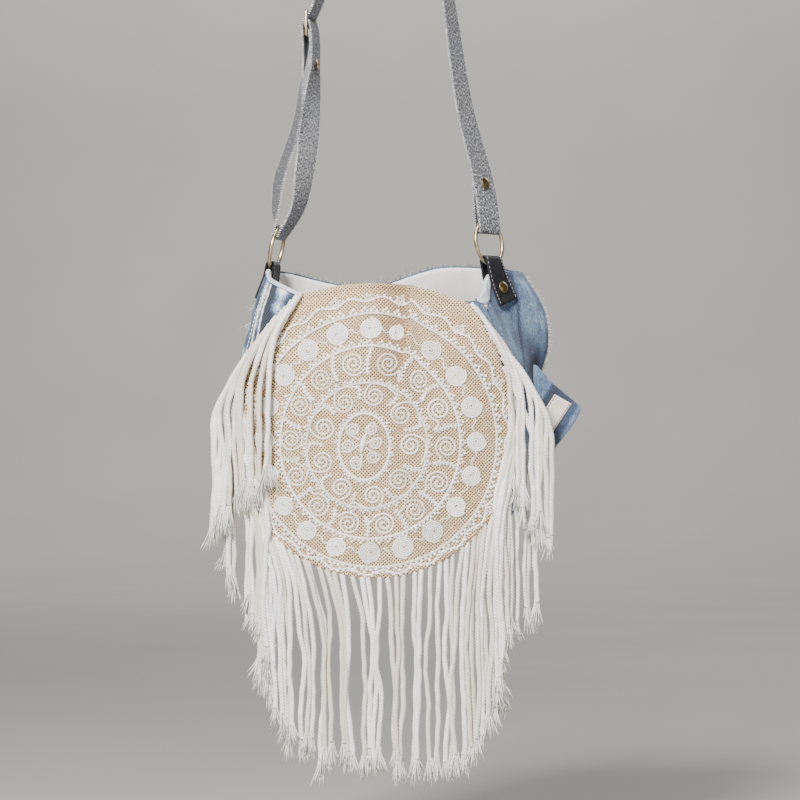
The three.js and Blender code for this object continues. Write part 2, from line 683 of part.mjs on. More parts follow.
// Three-bar slider
function sliderBox(width, depth, height, z) {
  const box = new THREE.BoxGeometry(width, depth, height);
  box.translate(0, 0, z);
  return toManifold(box);
}
const slotHeight = SLIDER.reach - SLIDER.bar;
const slotCentre = SLIDER.reach / 2;
let sliderBody = sliderBox(SLIDER.width, SLIDER.bar, 2 * SLIDER.reach + SLIDER.bar, 0);
for (const side of [1, -1]) {
  sliderBody = sliderBody.subtract(sliderBox(SLIDER.slot, 2 * SLIDER.bar, slotHeight, side * slotCentre));
}
const slider = add('slider', fromManifold(sliderBody), BRASS, 0.35, 1);
slider.position.copy(sliderAt(0, 0));
slider.rotation.z = radians(left.turn);

export default bag;
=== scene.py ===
import math
import random

import bpy
import numpy as np
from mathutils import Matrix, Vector, noise


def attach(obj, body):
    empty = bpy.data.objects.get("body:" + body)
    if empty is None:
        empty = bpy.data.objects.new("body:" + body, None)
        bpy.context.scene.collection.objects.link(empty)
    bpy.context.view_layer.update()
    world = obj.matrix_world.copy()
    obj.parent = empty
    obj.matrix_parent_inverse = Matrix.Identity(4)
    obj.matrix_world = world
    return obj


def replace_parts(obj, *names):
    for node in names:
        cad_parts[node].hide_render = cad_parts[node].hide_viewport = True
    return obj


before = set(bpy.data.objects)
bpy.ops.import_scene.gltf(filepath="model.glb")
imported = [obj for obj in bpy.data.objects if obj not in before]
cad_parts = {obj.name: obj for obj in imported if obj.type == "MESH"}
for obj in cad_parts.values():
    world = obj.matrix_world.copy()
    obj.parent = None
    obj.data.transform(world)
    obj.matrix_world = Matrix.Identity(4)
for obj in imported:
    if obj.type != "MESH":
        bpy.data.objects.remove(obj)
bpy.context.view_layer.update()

# Sizes are in millimetres, as in the part's source, and meshes are made in metres.
MM = 0.001
TURN = 2 * math.pi
RIM_Z = -705
BOTTOM_Z = -967
WALL_HEIGHT = RIM_Z - BOTTOM_Z
# Length round the bag, by which its cloth is laid out
GIRTH = 720
DENIM = 2.0
LINING = 1.2
CLEARANCE = 0.4
WALL_THICK = DENIM + CLEARANCE + LINING
MAT_RADIUS = 154
MAT_X = -12
MAT_Z = -860
MAT_HANG_LEVEL = 0.6
# How far the mat's edge stands out past its round, by degrees
MAT_EDGE = [(0, 0), (25, 0), (38, 5), (52, 14), (63, 7), (75, 4), (90, 1.5), (107, 4.5), (118, 9), (128, 4),
            (142, 0), (360, 0)]
MAT_BACK = 1.8
MAT_FACE = 3.2
STRAP_WIDTH = 38
STRAP_THICK = 1.6
PEG_RADIUS = 20
RING_RADIUS = 24
RING_WIRE = 2
TAB_WIDTH = 29
TAB_THICK = 2.2
TAB_LEG = 29
TAB_GAP = 0.9

# Plan of the bag at each level, as in the part's source
LEVEL_COLUMNS = ("w", "front_left", "front_right", "middle_right", "back_right", "back_left",
                 "middle_left", "front", "back", "crown")
LEVELS = [
    (0.00, -124, 98, 114, 148, -108, -124, -30, 34, 12),
    (0.20, -141, 116, 133, 174, -121, -144, -36, 42, 20),
    (0.40, -149, 124, 148, 168, -131, -160, -38, 46, 26),
    (0.65, -151, 126, 150, 158, -134, -160, -38, 46, 25),
    (0.85, -142, 120, 138, 146, -128, -150, -33, 40, 20),
    (1.00, -120, 104, 118, 126, -110, -126, -20, 24, 10),
]
BACK_CROWN = 0.4
GUSSET_Y = -2
# Height of the rim at the ten corners of the plan; it dips lower at the front left than the part's
RIM_RISE = [6, -22, -16, -15, 14, 17, 23, 1, 17, 14]
# Folds of the walls: place on the plan, spread, depth and the levels between which they run
FOLDS = [
    (0.20, 0.026, 9, -0.25, 0.6),
    (0.94, 0.022, 5, 0.1, 0.9),
    (0.46, 0.020, 5, 0.12, 0.9),
    (0.66, 0.050, 6, -0.2, 0.7),
]
HARDWARE = {
    "right": {"t": 0.4, "sense": 1, "lean": -0.15, "rise": 9.5, "hollow": True},
    "left": {"t": 0.9, "sense": -1, "lean": 0.22, "rise": 3.6, "hollow": False},
}
SLIDER = {"x": -81, "y": -2, "z": -424, "width": 46, "reach": 13, "bar": 3}

rng = random.Random(1862)


# The bag's surfaces

def catmull_rom(points, t, closed):
    """Centripetal Catmull-Rom curve through the points, at an array of places from 0 to 1."""
    points = np.asarray(points, float)
    count = len(points)
    spans = count if closed else count - 1
    place = np.asarray(t, float) * spans
    index = np.clip(np.floor(place).astype(int), 0, spans - 1)
    u = (place - index)[..., None]
    if closed:
        p0, p1, p2, p3 = (points[(index + k) % count] for k in (-1, 0, 1, 2))
    else:
        padded = np.vstack([2 * points[0] - points[1], points, 2 * points[-1] - points[-2]])
        p0, p1, p2, p3 = (padded[index + k] for k in range(4))
    step = [np.sum((b - a) ** 2, -1, keepdims=True) ** 0.25 for a, b in ((p0, p1), (p1, p2), (p2, p3))]
    d0, d1, d2 = (np.where(d < 1e-4, 1.0, d) for d in step)
    m1 = ((p1 - p0) / d0 - (p2 - p0) / (d0 + d1) + (p2 - p1) / d1) * d1
    m2 = ((p2 - p1) / d1 - (p3 - p1) / (d1 + d2) + (p3 - p2) / d2) * d1
    cubic = 2 * p1 - 2 * p2 + m1 + m2
    square = -3 * p1 + 3 * p2 - 2 * m1 - m2
    return p1 + m1 * u + square * u ** 2 + cubic * u ** 3


def level_at(w):
    """The plan's sizes at one level, by a smooth curve through the table's rows."""
    w = min(max(w, 0.0), 1.0)
    last = len(LEVELS) - 1
    i = 0
    while i < last - 1 and LEVELS[i + 1][0] < w:
        i += 1
    rows = np.array(LEVELS)

    def slope(k):
        before, after = rows[max(k - 1, 0)], rows[min(k + 1, last)]
        return (after - before) / (after[0] - before[0])

    span = rows[i + 1][0] - rows[i][0]
    u = (w - rows[i][0]) / span
    ease = u * u * (3 - 2 * u)
    start = rows[i] + slope(i) * span * u
    end = rows[i + 1] - slope(i + 1) * span * (1 - u)
    return dict(zip(LEVEL_COLUMNS, start + (end - start) * ease))


def plan_corners(w):
    a = level_at(w)
    wide = a["front_right"] - a["front_left"]
    long = a["back_left"] - a["back_right"]
    front = a["front"] - a["crown"]
    back = a["back"] + BACK_CROWN * a["crown"]
    return [
        (a["front_left"], a["front"]),
        (a["front_left"] + wide / 3, front),
        (a["front_left"] + wide * 2 / 3, front),
        (a["front_right"], a["front"]),
        (a["middle_right"], GUSSET_Y),
        (a["back_right"], a["back"]),
        (a["back_right"] + long / 3, back),
        (a["back_right"] + long * 2 / 3, back),
        (a["back_left"], a["back"]),
        (a["middle_left"], GUSSET_Y),
    ]


def apart(t, place):
    """Signed distance along the plan from a place, going the short way round."""
    return (t - place + 0.5) % 1.0 - 0.5


def fold_depth(t, w):
    depth = np.zeros_like(t)
    for place, spread, most, start, end in FOLDS:
        along = (w - start) / (end - start)
        if 0 < along < 1:
            away = np.abs(apart(t, place)) / spread
            depth += most * np.exp(-away ** 2) * math.sin(math.pi * along)
    return depth


def plan(t, w):
    t = np.asarray(t, float) % 1.0
    corners = plan_corners(w)
    point = catmull_rom(corners, t, True)
    step = 1e-4
    along = catmull_rom(corners, (t + step) % 1.0, True) - catmull_rom(corners, (t - step) % 1.0, True)
    along /= np.linalg.norm(along, axis=-1, keepdims=True)
    depth = fold_depth(t, w)[..., None]
    return point + depth * np.stack([-along[..., 1], along[..., 0]], -1)


def rim_z(t):
    points = [(40 * i, rise) for i, rise in enumerate(RIM_RISE)]
    return RIM_Z + catmull_rom(points, np.asarray(t, float) % 1.0, True)[..., 1]


def wall(t, w):
    """Outer face of the denim along the plan, at one level."""
    flat = plan(t, w)
    rim = rim_z(t)
    return np.concatenate([flat, (rim + (BOTTOM_Z - rim) * w)[..., None]], -1)


def unit(v):
    return v / np.linalg.norm(v, axis=-1, keepdims=True)


def way_at(angle):
    """Flat direction at an angle, or one for each of an array of them."""
    return np.stack([np.cos(angle), np.sin(angle)], -1)


def turns_round(count):
    """Angles spaced evenly round a circle."""
    return np.linspace(0, TURN, count, endpoint=False)


def left_of(way):
    """Flat direction a quarter turn to the left."""
    return np.array([-way[1], way[0]])


def gone_along(points):
    """Distance gone along a line at each of its points."""
    return np.concatenate([[0], np.cumsum(np.linalg.norm(np.diff(points, axis=0), axis=1))])


def read_along(places, gone, table):
    """Rows of a table read at places along a line, from the distance gone at each row."""
    return np.stack([np.interp(places, gone, column) for column in table.T], -1)


def wall_normal(t, w):
    along_t = wall(np.asarray(t) + 0.003, w) - wall(np.asarray(t) - 0.003, w)
    along_w = wall(t, w + 0.01) - wall(t, w - 0.01)
    return unit(np.cross(along_w, along_t))


def wall_offset(t, w, offset):
    return wall(t, w) + np.asarray(offset)[..., None] * wall_normal(t, w)


# The front and some of the gussets beside it, where the mat and the fringe lie
PROFILE_T = np.linspace(-0.09, 0.39, 241)
PROFILE_FRONT = 60
_profiles = {}


def mat_profile(level):
    """Points across the front at one level, with their distance along the cloth from MAT_X."""
    key = round(float(level), 4)
    if key not in _profiles:
        points = plan(PROFILE_T, key)
        gone = gone_along(points)
        _profiles[key] = points, gone - np.interp(MAT_X, points[PROFILE_FRONT:, 0], gone[PROFILE_FRONT:])
    return _profiles[key]


def mat_level(z):
    return min(max((z - RIM_Z) / (BOTTOM_Z - RIM_Z), 0.0), MAT_HANG_LEVEL)


# The mat's bed: places and outward directions by flat distance across and up from its centre
BED_STEP = 2.0
BED_HALF = 176
BED_LINE = np.arange(-BED_HALF, BED_HALF + 0.1, BED_STEP)


def make_bed():
    rows = []
    for up in BED_LINE:
        points, gone = mat_profile(mat_level(MAT_Z + up))
        x, y = (np.interp(BED_LINE, gone, points[:, k]) for k in (0, 1))
        rows.append(np.stack([x, y, np.full_like(x, MAT_Z + up)], -1))
    places = np.array(rows)
    out = unit(np.cross(np.gradient(places, axis=1), np.gradient(places, axis=0)))
    return places, out


BED, BED_OUT = make_bed()


def mat_offset(across, up, offset):
    """Place at this height off the mat's bed, and the direction outwards there."""
    across, up, offset = np.broadcast_arrays(*(np.asarray(v, float) for v in (across, up, offset)))
    a = np.clip((across - BED_LINE[0]) / BED_STEP, 0, len(BED_LINE) - 1.001)
    b = np.clip((up - BED_LINE[0]) / BED_STEP, 0, len(BED_LINE) - 1.001)
    i, j = b.astype(int), a.astype(int)
    u, v = (a - j)[..., None], (b - i)[..., None]

    def blend(table):
        low = table[i, j] * (1 - u) + table[i, j + 1] * u
        high = table[i + 1, j] * (1 - u) + table[i + 1, j + 1] * u
        return low * (1 - v) + high * v

    out = unit(blend(BED_OUT))
    return blend(BED) + offset[..., None] * out, out


def mat_reach(angle):
    """Distance from the mat's centre to its edge, which stands out past its round in two places."""
    turn = np.degrees(np.asarray(angle, float)) % 360.0
    degrees, out = (np.array(column, float) for column in zip(*MAT_EDGE))
    i = np.clip(np.searchsorted(degrees, turn, "right") - 1, 0, len(degrees) - 2)
    share = (turn - degrees[i]) / (degrees[i + 1] - degrees[i])
    return MAT_RADIUS + out[i] + (out[i + 1] - out[i]) * share * share * (3 - 2 * share)


# Mesh making

def grid_faces(rows, columns, closed=False, first=0):
    """Quads of a grid whose points run row by row; closed joins the last column to the first."""
    i, j = np.meshgrid(np.arange(rows - 1), np.arange(columns if closed else columns - 1), indexing="ij")
    k = (j + 1) % columns
    quads = np.stack([i * columns + j, i * columns + k, (i + 1) * columns + k, (i + 1) * columns + j], -1)
    return first + quads.reshape(-1, 4)


def fan(ring, centre, turned=False):
    """Triangles from a closed ring of points to the one in its middle."""
    after = np.roll(ring, -1)
    first, second = (after, ring) if turned else (ring, after)
    return np.stack([first, second, np.full(len(ring), centre)], -1)


def make(name, points, faces, material, uv=None, attributes=None):
    """Mesh object from points in millimetres and lists of faces with three or four corners."""
    mesh = bpy.data.meshes.new(name)
    faces = [np.asarray(f, np.int32) for f in faces if len(f)]
    corners = np.concatenate([f.ravel() for f in faces])
    sizes = np.concatenate([np.full(len(f), f.shape[1], np.int32) for f in faces])
    mesh.vertices.add(len(points))
    mesh.vertices.foreach_set("co", (np.asarray(points, float) * MM).astype(np.float32).ravel())
    mesh.loops.add(len(corners))
    mesh.loops.foreach_set("vertex_index", corners)
    mesh.polygons.add(len(sizes))
    starts = np.concatenate([[0], np.cumsum(sizes)[:-1]]).astype(np.int32)
    mesh.polygons.foreach_set("loop_start", starts)
    mesh.polygons.foreach_set("use_smooth", np.full(len(sizes), True))
    if uv is not None:
        layer = mesh.uv_layers.new(name="UVMap")
        layer.data.foreach_set("uv", np.asarray(uv, np.float32)[corners].ravel())
    for label, values in (attributes or {}).items():
        mesh.attributes.new(label, "FLOAT", "POINT").data.foreach_set("value", np.asarray(values, np.float32))
    mesh.update(calc_edges=True)
    mesh.validate()
    mesh.materials.append(material)
    piece = bpy.data.objects.new(name, mesh)
    bpy.context.scene.collection.objects.link(piece)
    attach(piece, "root")
    return piece


def make_sheet(name, outer, inner, material, slot, flat, turned=False, attributes=None):
    """Sheet between two grids, with its edges closed and the same flat places on both faces."""
    rows, columns = outer.shape[:2]
    count = rows * columns
    faces = [grid_faces(rows, columns), grid_faces(rows, columns, first=count)[:, ::-1]]
    ids = np.arange(count).reshape(rows, columns)
    for line in (ids[0], ids[-1][::-1], ids[:, -1], ids[::-1, 0]):
        a, b = line[:-1], line[1:]
        faces.append(np.stack([b, a, a + count, b + count], -1))
    if turned:
        faces = [f[:, ::-1] for f in faces]
    points = np.concatenate([outer.reshape(-1, 3), inner.reshape(-1, 3)])
    both = {label: np.tile(np.ravel(values), 2) for label, values in (attributes or {}).items()}
    return make(name, points, faces, material, np.tile(flat.reshape(-1, 2), (2, 1)), attributes=both)


class Tubes:
    """Many tubes gathered into one mesh, each swept along its own path."""

    def __init__(self):
        self.points, self.quads, self.tris, self.uv, self.shade = [], [], [], [], []
        self.count = 0

    def add(self, path, side, out, radii, section, uv_along=None, shade=0.0):
        """Sweep a section, an array of (sideways, outwards) offsets, along a path.
        side and out are unit vectors along the path, and radii scales the section at each place."""
        path = np.asarray(path, float)
        section = np.asarray(section, float)
        if section.ndim == 2:
            section = np.broadcast_to(section, (len(path),) + section.shape)
        scale = np.broadcast_to(np.asarray(radii, float), (len(path),))[:, None, None]
        ring = path[:, None] + scale * (section[..., :1] * side[:, None] + section[..., 1:] * out[:, None])
        rows, columns = ring.shape[:2]
        first = self.count
        ends = first + rows * columns + np.arange(2)
        self.points += [ring.reshape(-1, 3), path[[0, -1]]]
        self.quads.append(grid_faces(rows, columns, True, first))
        around = first + np.arange(columns)
        self.tris += [fan(around, ends[0], True), fan(around + (rows - 1) * columns, ends[1])]
        along = np.linspace(0, 1, rows) if uv_along is None else np.asarray(uv_along, float)
        u = np.broadcast_to(np.arange(columns) / columns, (rows, columns))
        self.uv.append(np.stack([u, np.broadcast_to(along[:, None], (rows, columns))], -1).reshape(-1, 2))
        self.uv.append(np.array([[0.5, along[0]], [0.5, along[-1]]]))
        self.shade.append(np.full(rows * columns + 2, shade))
        self.count += rows * columns + 2

    def sweep(self, path, hint, *rest):
        """Add a tube whose section is kept turned outwards, near the hint."""
        self.add(path, *frames_along(path, hint), *rest)

    def build(self, name, material, slot):
        points, quads, tris, uv, shade = (np.concatenate(rows) for rows in (
            self.points, self.quads, self.tris, self.uv, self.shade))
        return make(name, points, [quads, tris], material, uv, attributes={"shade": shade})


def circle(sides, wide=1.0, high=1.0):
    return way_at(turns_round(sides)) * (wide, high)


def frames_along(path, out_hint):
    """Sideways and outwards unit vectors along a path, outwards kept near the hint."""
    along = unit(np.gradient(np.asarray(path, float), axis=0))
    hint = np.broadcast_to(np.asarray(out_hint, float), along.shape)
    side = unit(np.cross(along, hint))
    return side, unit(np.cross(side, along))


# Materials

class Shader:
    """A node material with short calls for the nodes used here."""

    def __init__(self, name, roughness=0.85, metallic=0.0, sheen=0.0, specular=0.35):
        self.material = bpy.data.materials.new(name)
        self.material.use_nodes = True
        self.tree = self.material.node_tree
        self.bsdf = self.tree.nodes["Principled BSDF"]
        self.bsdf.inputs["Roughness"].default_value = roughness
        self.bsdf.inputs["Metallic"].default_value = metallic
        self.bsdf.inputs["Specular IOR Level"].default_value = specular
        if sheen:
            self.bsdf.inputs["Sheen Weight"].default_value = sheen
            self.bsdf.inputs["Sheen Roughness"].default_value = 0.5

    def node(self, kind, inputs=None, **settings):
        made = self.tree.nodes.new(kind)
        for key, value in settings.items():
            setattr(made, key, value)
        for key, value in (inputs or {}).items():
            self.plug(made.inputs[key], value)
        return made

    def plug(self, socket, value):
        if isinstance(value, bpy.types.NodeSocket):
            self.tree.links.new(value, socket)
        else:
            socket.default_value = value

    def uv(self):
        return self.node("ShaderNodeUVMap", uv_map="UVMap").outputs["UV"]

    def place(self):
        return self.node("ShaderNodeTexCoord").outputs["Object"]

    def attribute(self, name):
        return self.node("ShaderNodeAttribute", attribute_name=name).outputs["Fac"]

    def noise(self, vector, scale, detail=4.0, roughness=0.55):
        made = self.node("ShaderNodeTexNoise",
                         {"Vector": vector, "Scale": scale, "Detail": detail, "Roughness": roughness})
        return made.outputs["Fac"]

    def math(self, operation, a, b=0.0, clamp=False):
        return self.node("ShaderNodeMath", {0: a, 1: b}, operation=operation, use_clamp=clamp).outputs[0]

    def plus(self, total, *layers):
        """Add layers to a value, each with its weight and the middle, if any, taken off it first."""
        for layer, weight, *middle in layers:
            for value in middle:
                layer = self.math("SUBTRACT", layer, value)
            total = self.math("ADD", total, self.math("MULTIPLY", layer, weight))
        return total

    def stretch(self, vector, scale):
        return self.node("ShaderNodeMapping", {"Vector": vector, "Scale": scale}).outputs["Vector"]

    def wave(self, vector, scale, distortion=0.0, direction="X"):
        made = self.node("ShaderNodeTexWave", {"Vector": vector, "Scale": scale, "Distortion": distortion},
                         bands_direction=direction)
        return made.outputs["Fac"]

    def ramp(self, value, stops):
        made = self.node("ShaderNodeValToRGB", {"Fac": value})
        elements = made.color_ramp.elements
        while len(elements) < len(stops):
            elements.new(0.5)
        for element, (place, colour) in zip(elements, stops):
            element.position = place
            element.color = (*colour, 1.0)
        return made.outputs["Color"]

    def mix(self, factor, a, b, blend="MIX"):
        made = self.node("ShaderNodeMix", data_type="RGBA", blend_type=blend)
        self.plug(made.inputs["Factor"], factor)
        for socket, value in ((made.inputs[6], a), (made.inputs[7], b)):
            self.plug(socket, value if isinstance(value, bpy.types.NodeSocket) else (*value, 1.0))
        return made.outputs[2]

    def finish(self, colour, height=None, strength=0.4, distance=0.0005, roughness=None):
        self.plug(self.bsdf.inputs["Base Color"], colour)
        if roughness is not None:
            self.plug(self.bsdf.inputs["Roughness"], roughness)
        if height is not None:
            bump = self.node("ShaderNodeBump", {"Height": height, "Strength": strength, "Distance": distance})
            self.plug(self.bsdf.inputs["Normal"], bump.outputs["Normal"])
        return self.material


def denim_material():
    s = Shader("denim_cloth", roughness=0.92, sheen=0.12)
    uv = s.uv()
    broad = s.noise(s.place(), 30.0, 3.0, 0.5)
    mottle = s.noise(s.place(), 75.0, 6.0, 0.6)
    slub = s.noise(s.stretch(uv, (0.55, 0.03, 1.0)), 1.0, 3.0)
    grain = s.noise(s.stretch(uv, (0.9, 0.35, 1.0)), 1.0, 2.0)
    # The attribute read here holds how faded the denim is, with painted shade added in places
    fade_and_shade = s.plus(s.attribute("wash_and_shade"), (broad, 0.35, 0.5), (mottle, 0.5, 0.5), (slub, 0.5, 0.5),
                   (grain, 1.0, 0.5))
    colour = s.ramp(fade_and_shade, [
        (0.0, (0.004, 0.008, 0.022)),
        (0.28, (0.022, 0.045, 0.105)),
        (0.55, (0.10, 0.165, 0.25)),
        (0.8, (0.29, 0.37, 0.45)),
        (1.0, (0.74, 0.75, 0.75)),
    ])
    twill = s.wave(s.stretch(uv, (1.0, -1.0, 0.0)), 0.27, 0.6, "DIAGONAL")
    colour = s.mix(s.math("MULTIPLY", twill, 0.08), colour, (0.55, 0.60, 0.66))
    return s.finish(colour, s.plus(grain, (twill, 0.5)), strength=0.35, distance=0.0006)


def lining_material():
    s = Shader("lining_cloth", roughness=0.95, sheen=0.1)
    soft = s.noise(s.place(), 30.0, 5.0)
    colour = s.ramp(soft, [(0.25, (0.66, 0.65, 0.62)), (0.7, (0.88, 0.87, 0.84))])
    # Painted shade: the shade attribute darkens the lining deeper inside the bag and towards the right side's
    # back corner
    colour = s.mix(s.attribute("shade"), colour, (0.26, 0.225, 0.19))
    weave = s.wave(s.uv(), 0.28, 0.4, "DIAGONAL")
    return s.finish(colour, s.plus(soft, (weave, 0.15)), strength=0.3, distance=0.001)


def burlap_material():
    s = Shader("burlap_cloth", roughness=0.97, sheen=0.1)
    uv = s.uv()
    wander = s.node("ShaderNodeTexNoise", {"Vector": uv, "Scale": 0.11, "Detail": 2.0}).outputs["Color"]
    shift = s.node("ShaderNodeVectorMath", {0: wander, 1: (0.5, 0.5, 0.5)}, operation="SUBTRACT").outputs[0]
    shift = s.node("ShaderNodeVectorMath", {0: shift, "Scale": 3.2}, operation="SCALE").outputs[0]
    bent = s.node("ShaderNodeVectorMath", {0: uv, 1: shift}, operation="ADD").outputs[0]
    warp, weft = (s.wave(bent, 0.116, 0.0, direction) for direction in "XY")
    over = s.math("MAXIMUM", warp, weft)
    holes = s.math("MULTIPLY", warp, weft)
    lengthwise = s.noise(s.stretch(bent, (0.45, 0.02, 1.0)), 1.0, 2.0)
    crosswise = s.noise(s.stretch(bent, (0.02, 0.45, 1.0)), 1.0, 2.0)
    threads = s.math("MULTIPLY", s.math("ADD", lengthwise, crosswise), 0.5)
    patches = s.noise(s.place(), 24.0, 4.0)
    tone = s.plus(-0.08, (threads, 0.9), (patches, 0.25))
    colour = s.ramp(tone, [
        (0.25, (0.50, 0.335, 0.17)),
        (0.5, (0.77, 0.575, 0.34)),
        (0.75, (0.95, 0.82, 0.59)),
    ])
    gap = s.ramp(s.plus(over, (holes, 0.4)), [(0.39, (0.06, 0.03, 0.014)), (0.82, (1.0, 1.0, 1.0))])
    colour = s.mix(0.95, colour, gap, "MULTIPLY")
    # Painted shadow beside the pleat, by the shade attribute
    colour = s.mix(s.attribute("shade"), colour, (0.23, 0.13, 0.065))
    return s.finish(colour, s.math("ADD", over, holes), strength=0.75, distance=0.0011)


def thread_material(name, low, high, scale=0.35, strands=0):
    """Spun thread: its tone varies from piece to piece by the shade attribute and along the fibres.
    With strands it is darker in the grooves between them: painted shade."""
    s = Shader(name, roughness=0.93, sheen=0.15)
    fibres = s.noise(s.stretch(s.uv(), (9.0, 0.25, 1.0)), 1.0, 3.0)
    spots = s.noise(s.place(), 210.0 * scale, 4.0)
    tone = s.plus(0.0, (fibres, 0.45), (spots, 0.45))
    tone = s.math("ADD", tone, s.attribute("shade"), clamp=True)
    # Painted shade in the grooves between the strands
    if strands:
        tone = s.plus(tone, (s.wave(s.uv(), strands * math.pi / 10), -0.26))
    colour = s.ramp(tone, [(0.2, low), (0.62, high)])
    return s.finish(colour, s.math("ADD", fibres, spots), strength=0.3, distance=0.0005)


def webbing_material():
    s = Shader("webbing_weave", roughness=0.9, sheen=0.1)
    uv = s.uv()
    specks = s.noise(s.stretch(uv, (0.75, 0.42, 1.0)), 1.0, 2.0, 0.6)
    slub = s.noise(s.stretch(uv, (0.5, 0.1, 1.0)), 1.0, 2.0)
    ribs = s.wave(uv, 0.16, 0.5, "X")
    herring = s.wave(s.stretch(uv, (1.0, 0.8, 0.0)), 0.2, 1.0, "DIAGONAL")
    # The shade attribute paints shade on the strap's back strand and light on its front strand low on the
    # left
    tone = s.plus(0.5, (specks, 2.8, 0.5), (slub, 0.4, 0.5), (herring, 0.18, 0.5),
                  (s.attribute("shade"), 1.0))
    colour = s.ramp(tone, [
        (0.1, (0.012, 0.013, 0.02)),
        (0.36, (0.065, 0.068, 0.085)),
        (0.6, (0.235, 0.24, 0.265)),
        (0.88, (0.72, 0.72, 0.72)),
    ])
    return s.finish(colour, s.plus(ribs, (herring, 0.6)), strength=0.5, distance=0.0007)


def leather_material():
    s = Shader("black_leather", roughness=0.6, specular=0.2)
    cells = s.node("ShaderNodeTexVoronoi", {"Vector": s.place(), "Scale": 620.0}, feature="DISTANCE_TO_EDGE")
    grain = s.noise(s.place(), 240.0, 5.0)
    colour = s.ramp(grain, [(0.3, (0.004, 0.004, 0.005)), (0.75, (0.02, 0.02, 0.022))])
    rough = s.plus(0.42, (grain, 0.35))
    height = s.math("ADD", cells.outputs["Distance"], grain)
    return s.finish(colour, height, strength=0.35, distance=0.0006, roughness=rough)


def brass_material(name, tones):
    s = Shader(name, roughness=0.32, metallic=1.0)
    tarnish = s.noise(s.place(), 120.0, 6.0, 0.65)
    colour = s.ramp(tarnish, tones)
    rough = s.plus(0.16, (tarnish, 0.35))
    scratch = s.noise(s.stretch(s.place(), (900.0, 900.0, 160.0)), 1.0, 2.0)
    return s.finish(colour, scratch, strength=0.12, distance=0.0004, roughness=rough)


def trim_material(name, low, high):
    s = Shader(name, roughness=0.94, sheen=0.1)
    grain = s.noise(s.stretch(s.uv(), (0.6, 0.6, 1.0)), 1.0, 4.0)
    stain = s.noise(s.place(), 80.0, 4.0)
    colour = s.ramp(s.plus(0.0, (grain, 0.5), (stain, 0.5)), [(0.3, low), (0.7, high)])
    return s.finish(colour, grain, strength=0.4, distance=0.0007)


DENIM_CLOTH = denim_material()
LINING_CLOTH = lining_material()
BURLAP_CLOTH = burlap_material()
PALE_TONE = (0.97, 0.96, 0.93)
COTTON_CORD = thread_material("cotton_cord", (0.63, 0.58, 0.50), PALE_TONE, strands=3)
WHITE_THREAD = thread_material("white_thread", (0.40, 0.36, 0.30), PALE_TONE, 2.2)
BROWN_THREAD = thread_material("brown_thread", (0.20, 0.085, 0.03), (0.42, 0.20, 0.08), 0.8)
NAVY_THREAD = thread_material("navy_thread", (0.015, 0.022, 0.045), (0.09, 0.115, 0.17), 0.8)
GREY_THREAD = thread_material("grey_thread", (0.26, 0.275, 0.31), (0.80, 0.81, 0.83), 0.8)
RAW_EDGE = thread_material("raw_edge", (0.42, 0.40, 0.42), (0.80, 0.76, 0.74), 0.8)
WEBBING = webbing_material()
LEATHER = leather_material()
BRASS = brass_material("light_brass", [
    (0.3, (0.36, 0.28, 0.14)), (0.52, (0.60, 0.50, 0.30)), (0.75, (0.78, 0.70, 0.50))])
DARK_BRASS = brass_material("antique_brass", [
    (0.3, (0.13, 0.08, 0.03)), (0.55, (0.27, 0.18, 0.075)), (0.8, (0.46, 0.34, 0.17))])
TRIM = trim_material("cream_tape", (0.46, 0.40, 0.31), (0.78, 0.74, 0.66))
PALE_HEM = trim_material("pale_hem", (0.22, 0.27, 0.34), (0.66, 0.68, 0.70))


# Denim pouch

def field(x, y, size, seed):
    """Smooth noise from -1 to 1 over flat distances."""
    x, y = np.broadcast_arrays(np.asarray(x, float), np.asarray(y, float))
    flat = [noise.noise(Vector((a / size, b / size, seed))) for a, b in zip(x.ravel(), y.ravel())]
    return np.array(flat).reshape(x.shape)


MEAN_RADIUS = 112
MAT_PLACE = 0.145
MAT_SPREAD = 0.19
TAB_SPREAD = 0.035


def ripples(t, w):
    """Small dents and puckers of the cloth, in millimetres along its outward direction.
    They stand out less under the mat and the tabs."""
    t, w = np.broadcast_arrays(np.asarray(t, float), float(w))
    out = np.empty(t.shape)
    for k, share in enumerate(t.ravel()):
        x, y = MEAN_RADIUS * way_at(TURN * share)
        z = WALL_HEIGHT * w.flat[k]
        broad = noise.noise(Vector((x / 34, y / 34, z / 60)))
        diagonal = noise.noise(Vector((x / 20 + z / 46, y / 20, z / 40 + 9.1)))
        fine = noise.noise(Vector((x / 9, y / 9, z / 13 + 4.7)))
        out.flat[k] = 1.5 * broad + 1.5 * diagonal + 0.5 * fine
    under_mat = np.abs(apart(t, MAT_PLACE)) < MAT_SPREAD
    tabs = np.any([np.abs(t - spec["t"]) < TAB_SPREAD for spec in HARDWARE.values()], axis=0) & (w < 0.2)
    most = np.where(under_mat, 0.2, np.where(tabs, 0.4, 3.0))
    return np.clip(out - 0.4, -2.4, most)


SEAMS = [0.0, 0.3, 0.5, 0.8]
SEAM_HALF = 0.0075
SEAM_RISE = 0.7
SEAM_SOFT = 0.0018
SIDE_SEAM = 0.447
SIDE_SEAM_LEAN = 0.12


def side_seam(w):
    """Place of the plain seam on the right gusset at a level."""
    return SIDE_SEAM - SIDE_SEAM_LEAN * min(w, 0.6)


def seam_rise(t, w):
    rise = np.zeros_like(t)
    for seam in SEAMS:
        rise += SEAM_RISE * np.clip((SEAM_HALF - np.abs(apart(t, seam))) / SEAM_SOFT, 0, 1)
    past = apart(t, side_seam(w))
    return rise + 0.9 * np.clip(past / SEAM_SOFT + 0.5, 0, 1) * np.clip(1 - past / 0.03, 0, 1)


WASH_BASE = 0.40
# Walls that are paler: how much, place on the plan and half width
WASH_WALLS = [(0.15, 0.43, 0.07), (0.05, 0.65, 0.12)]
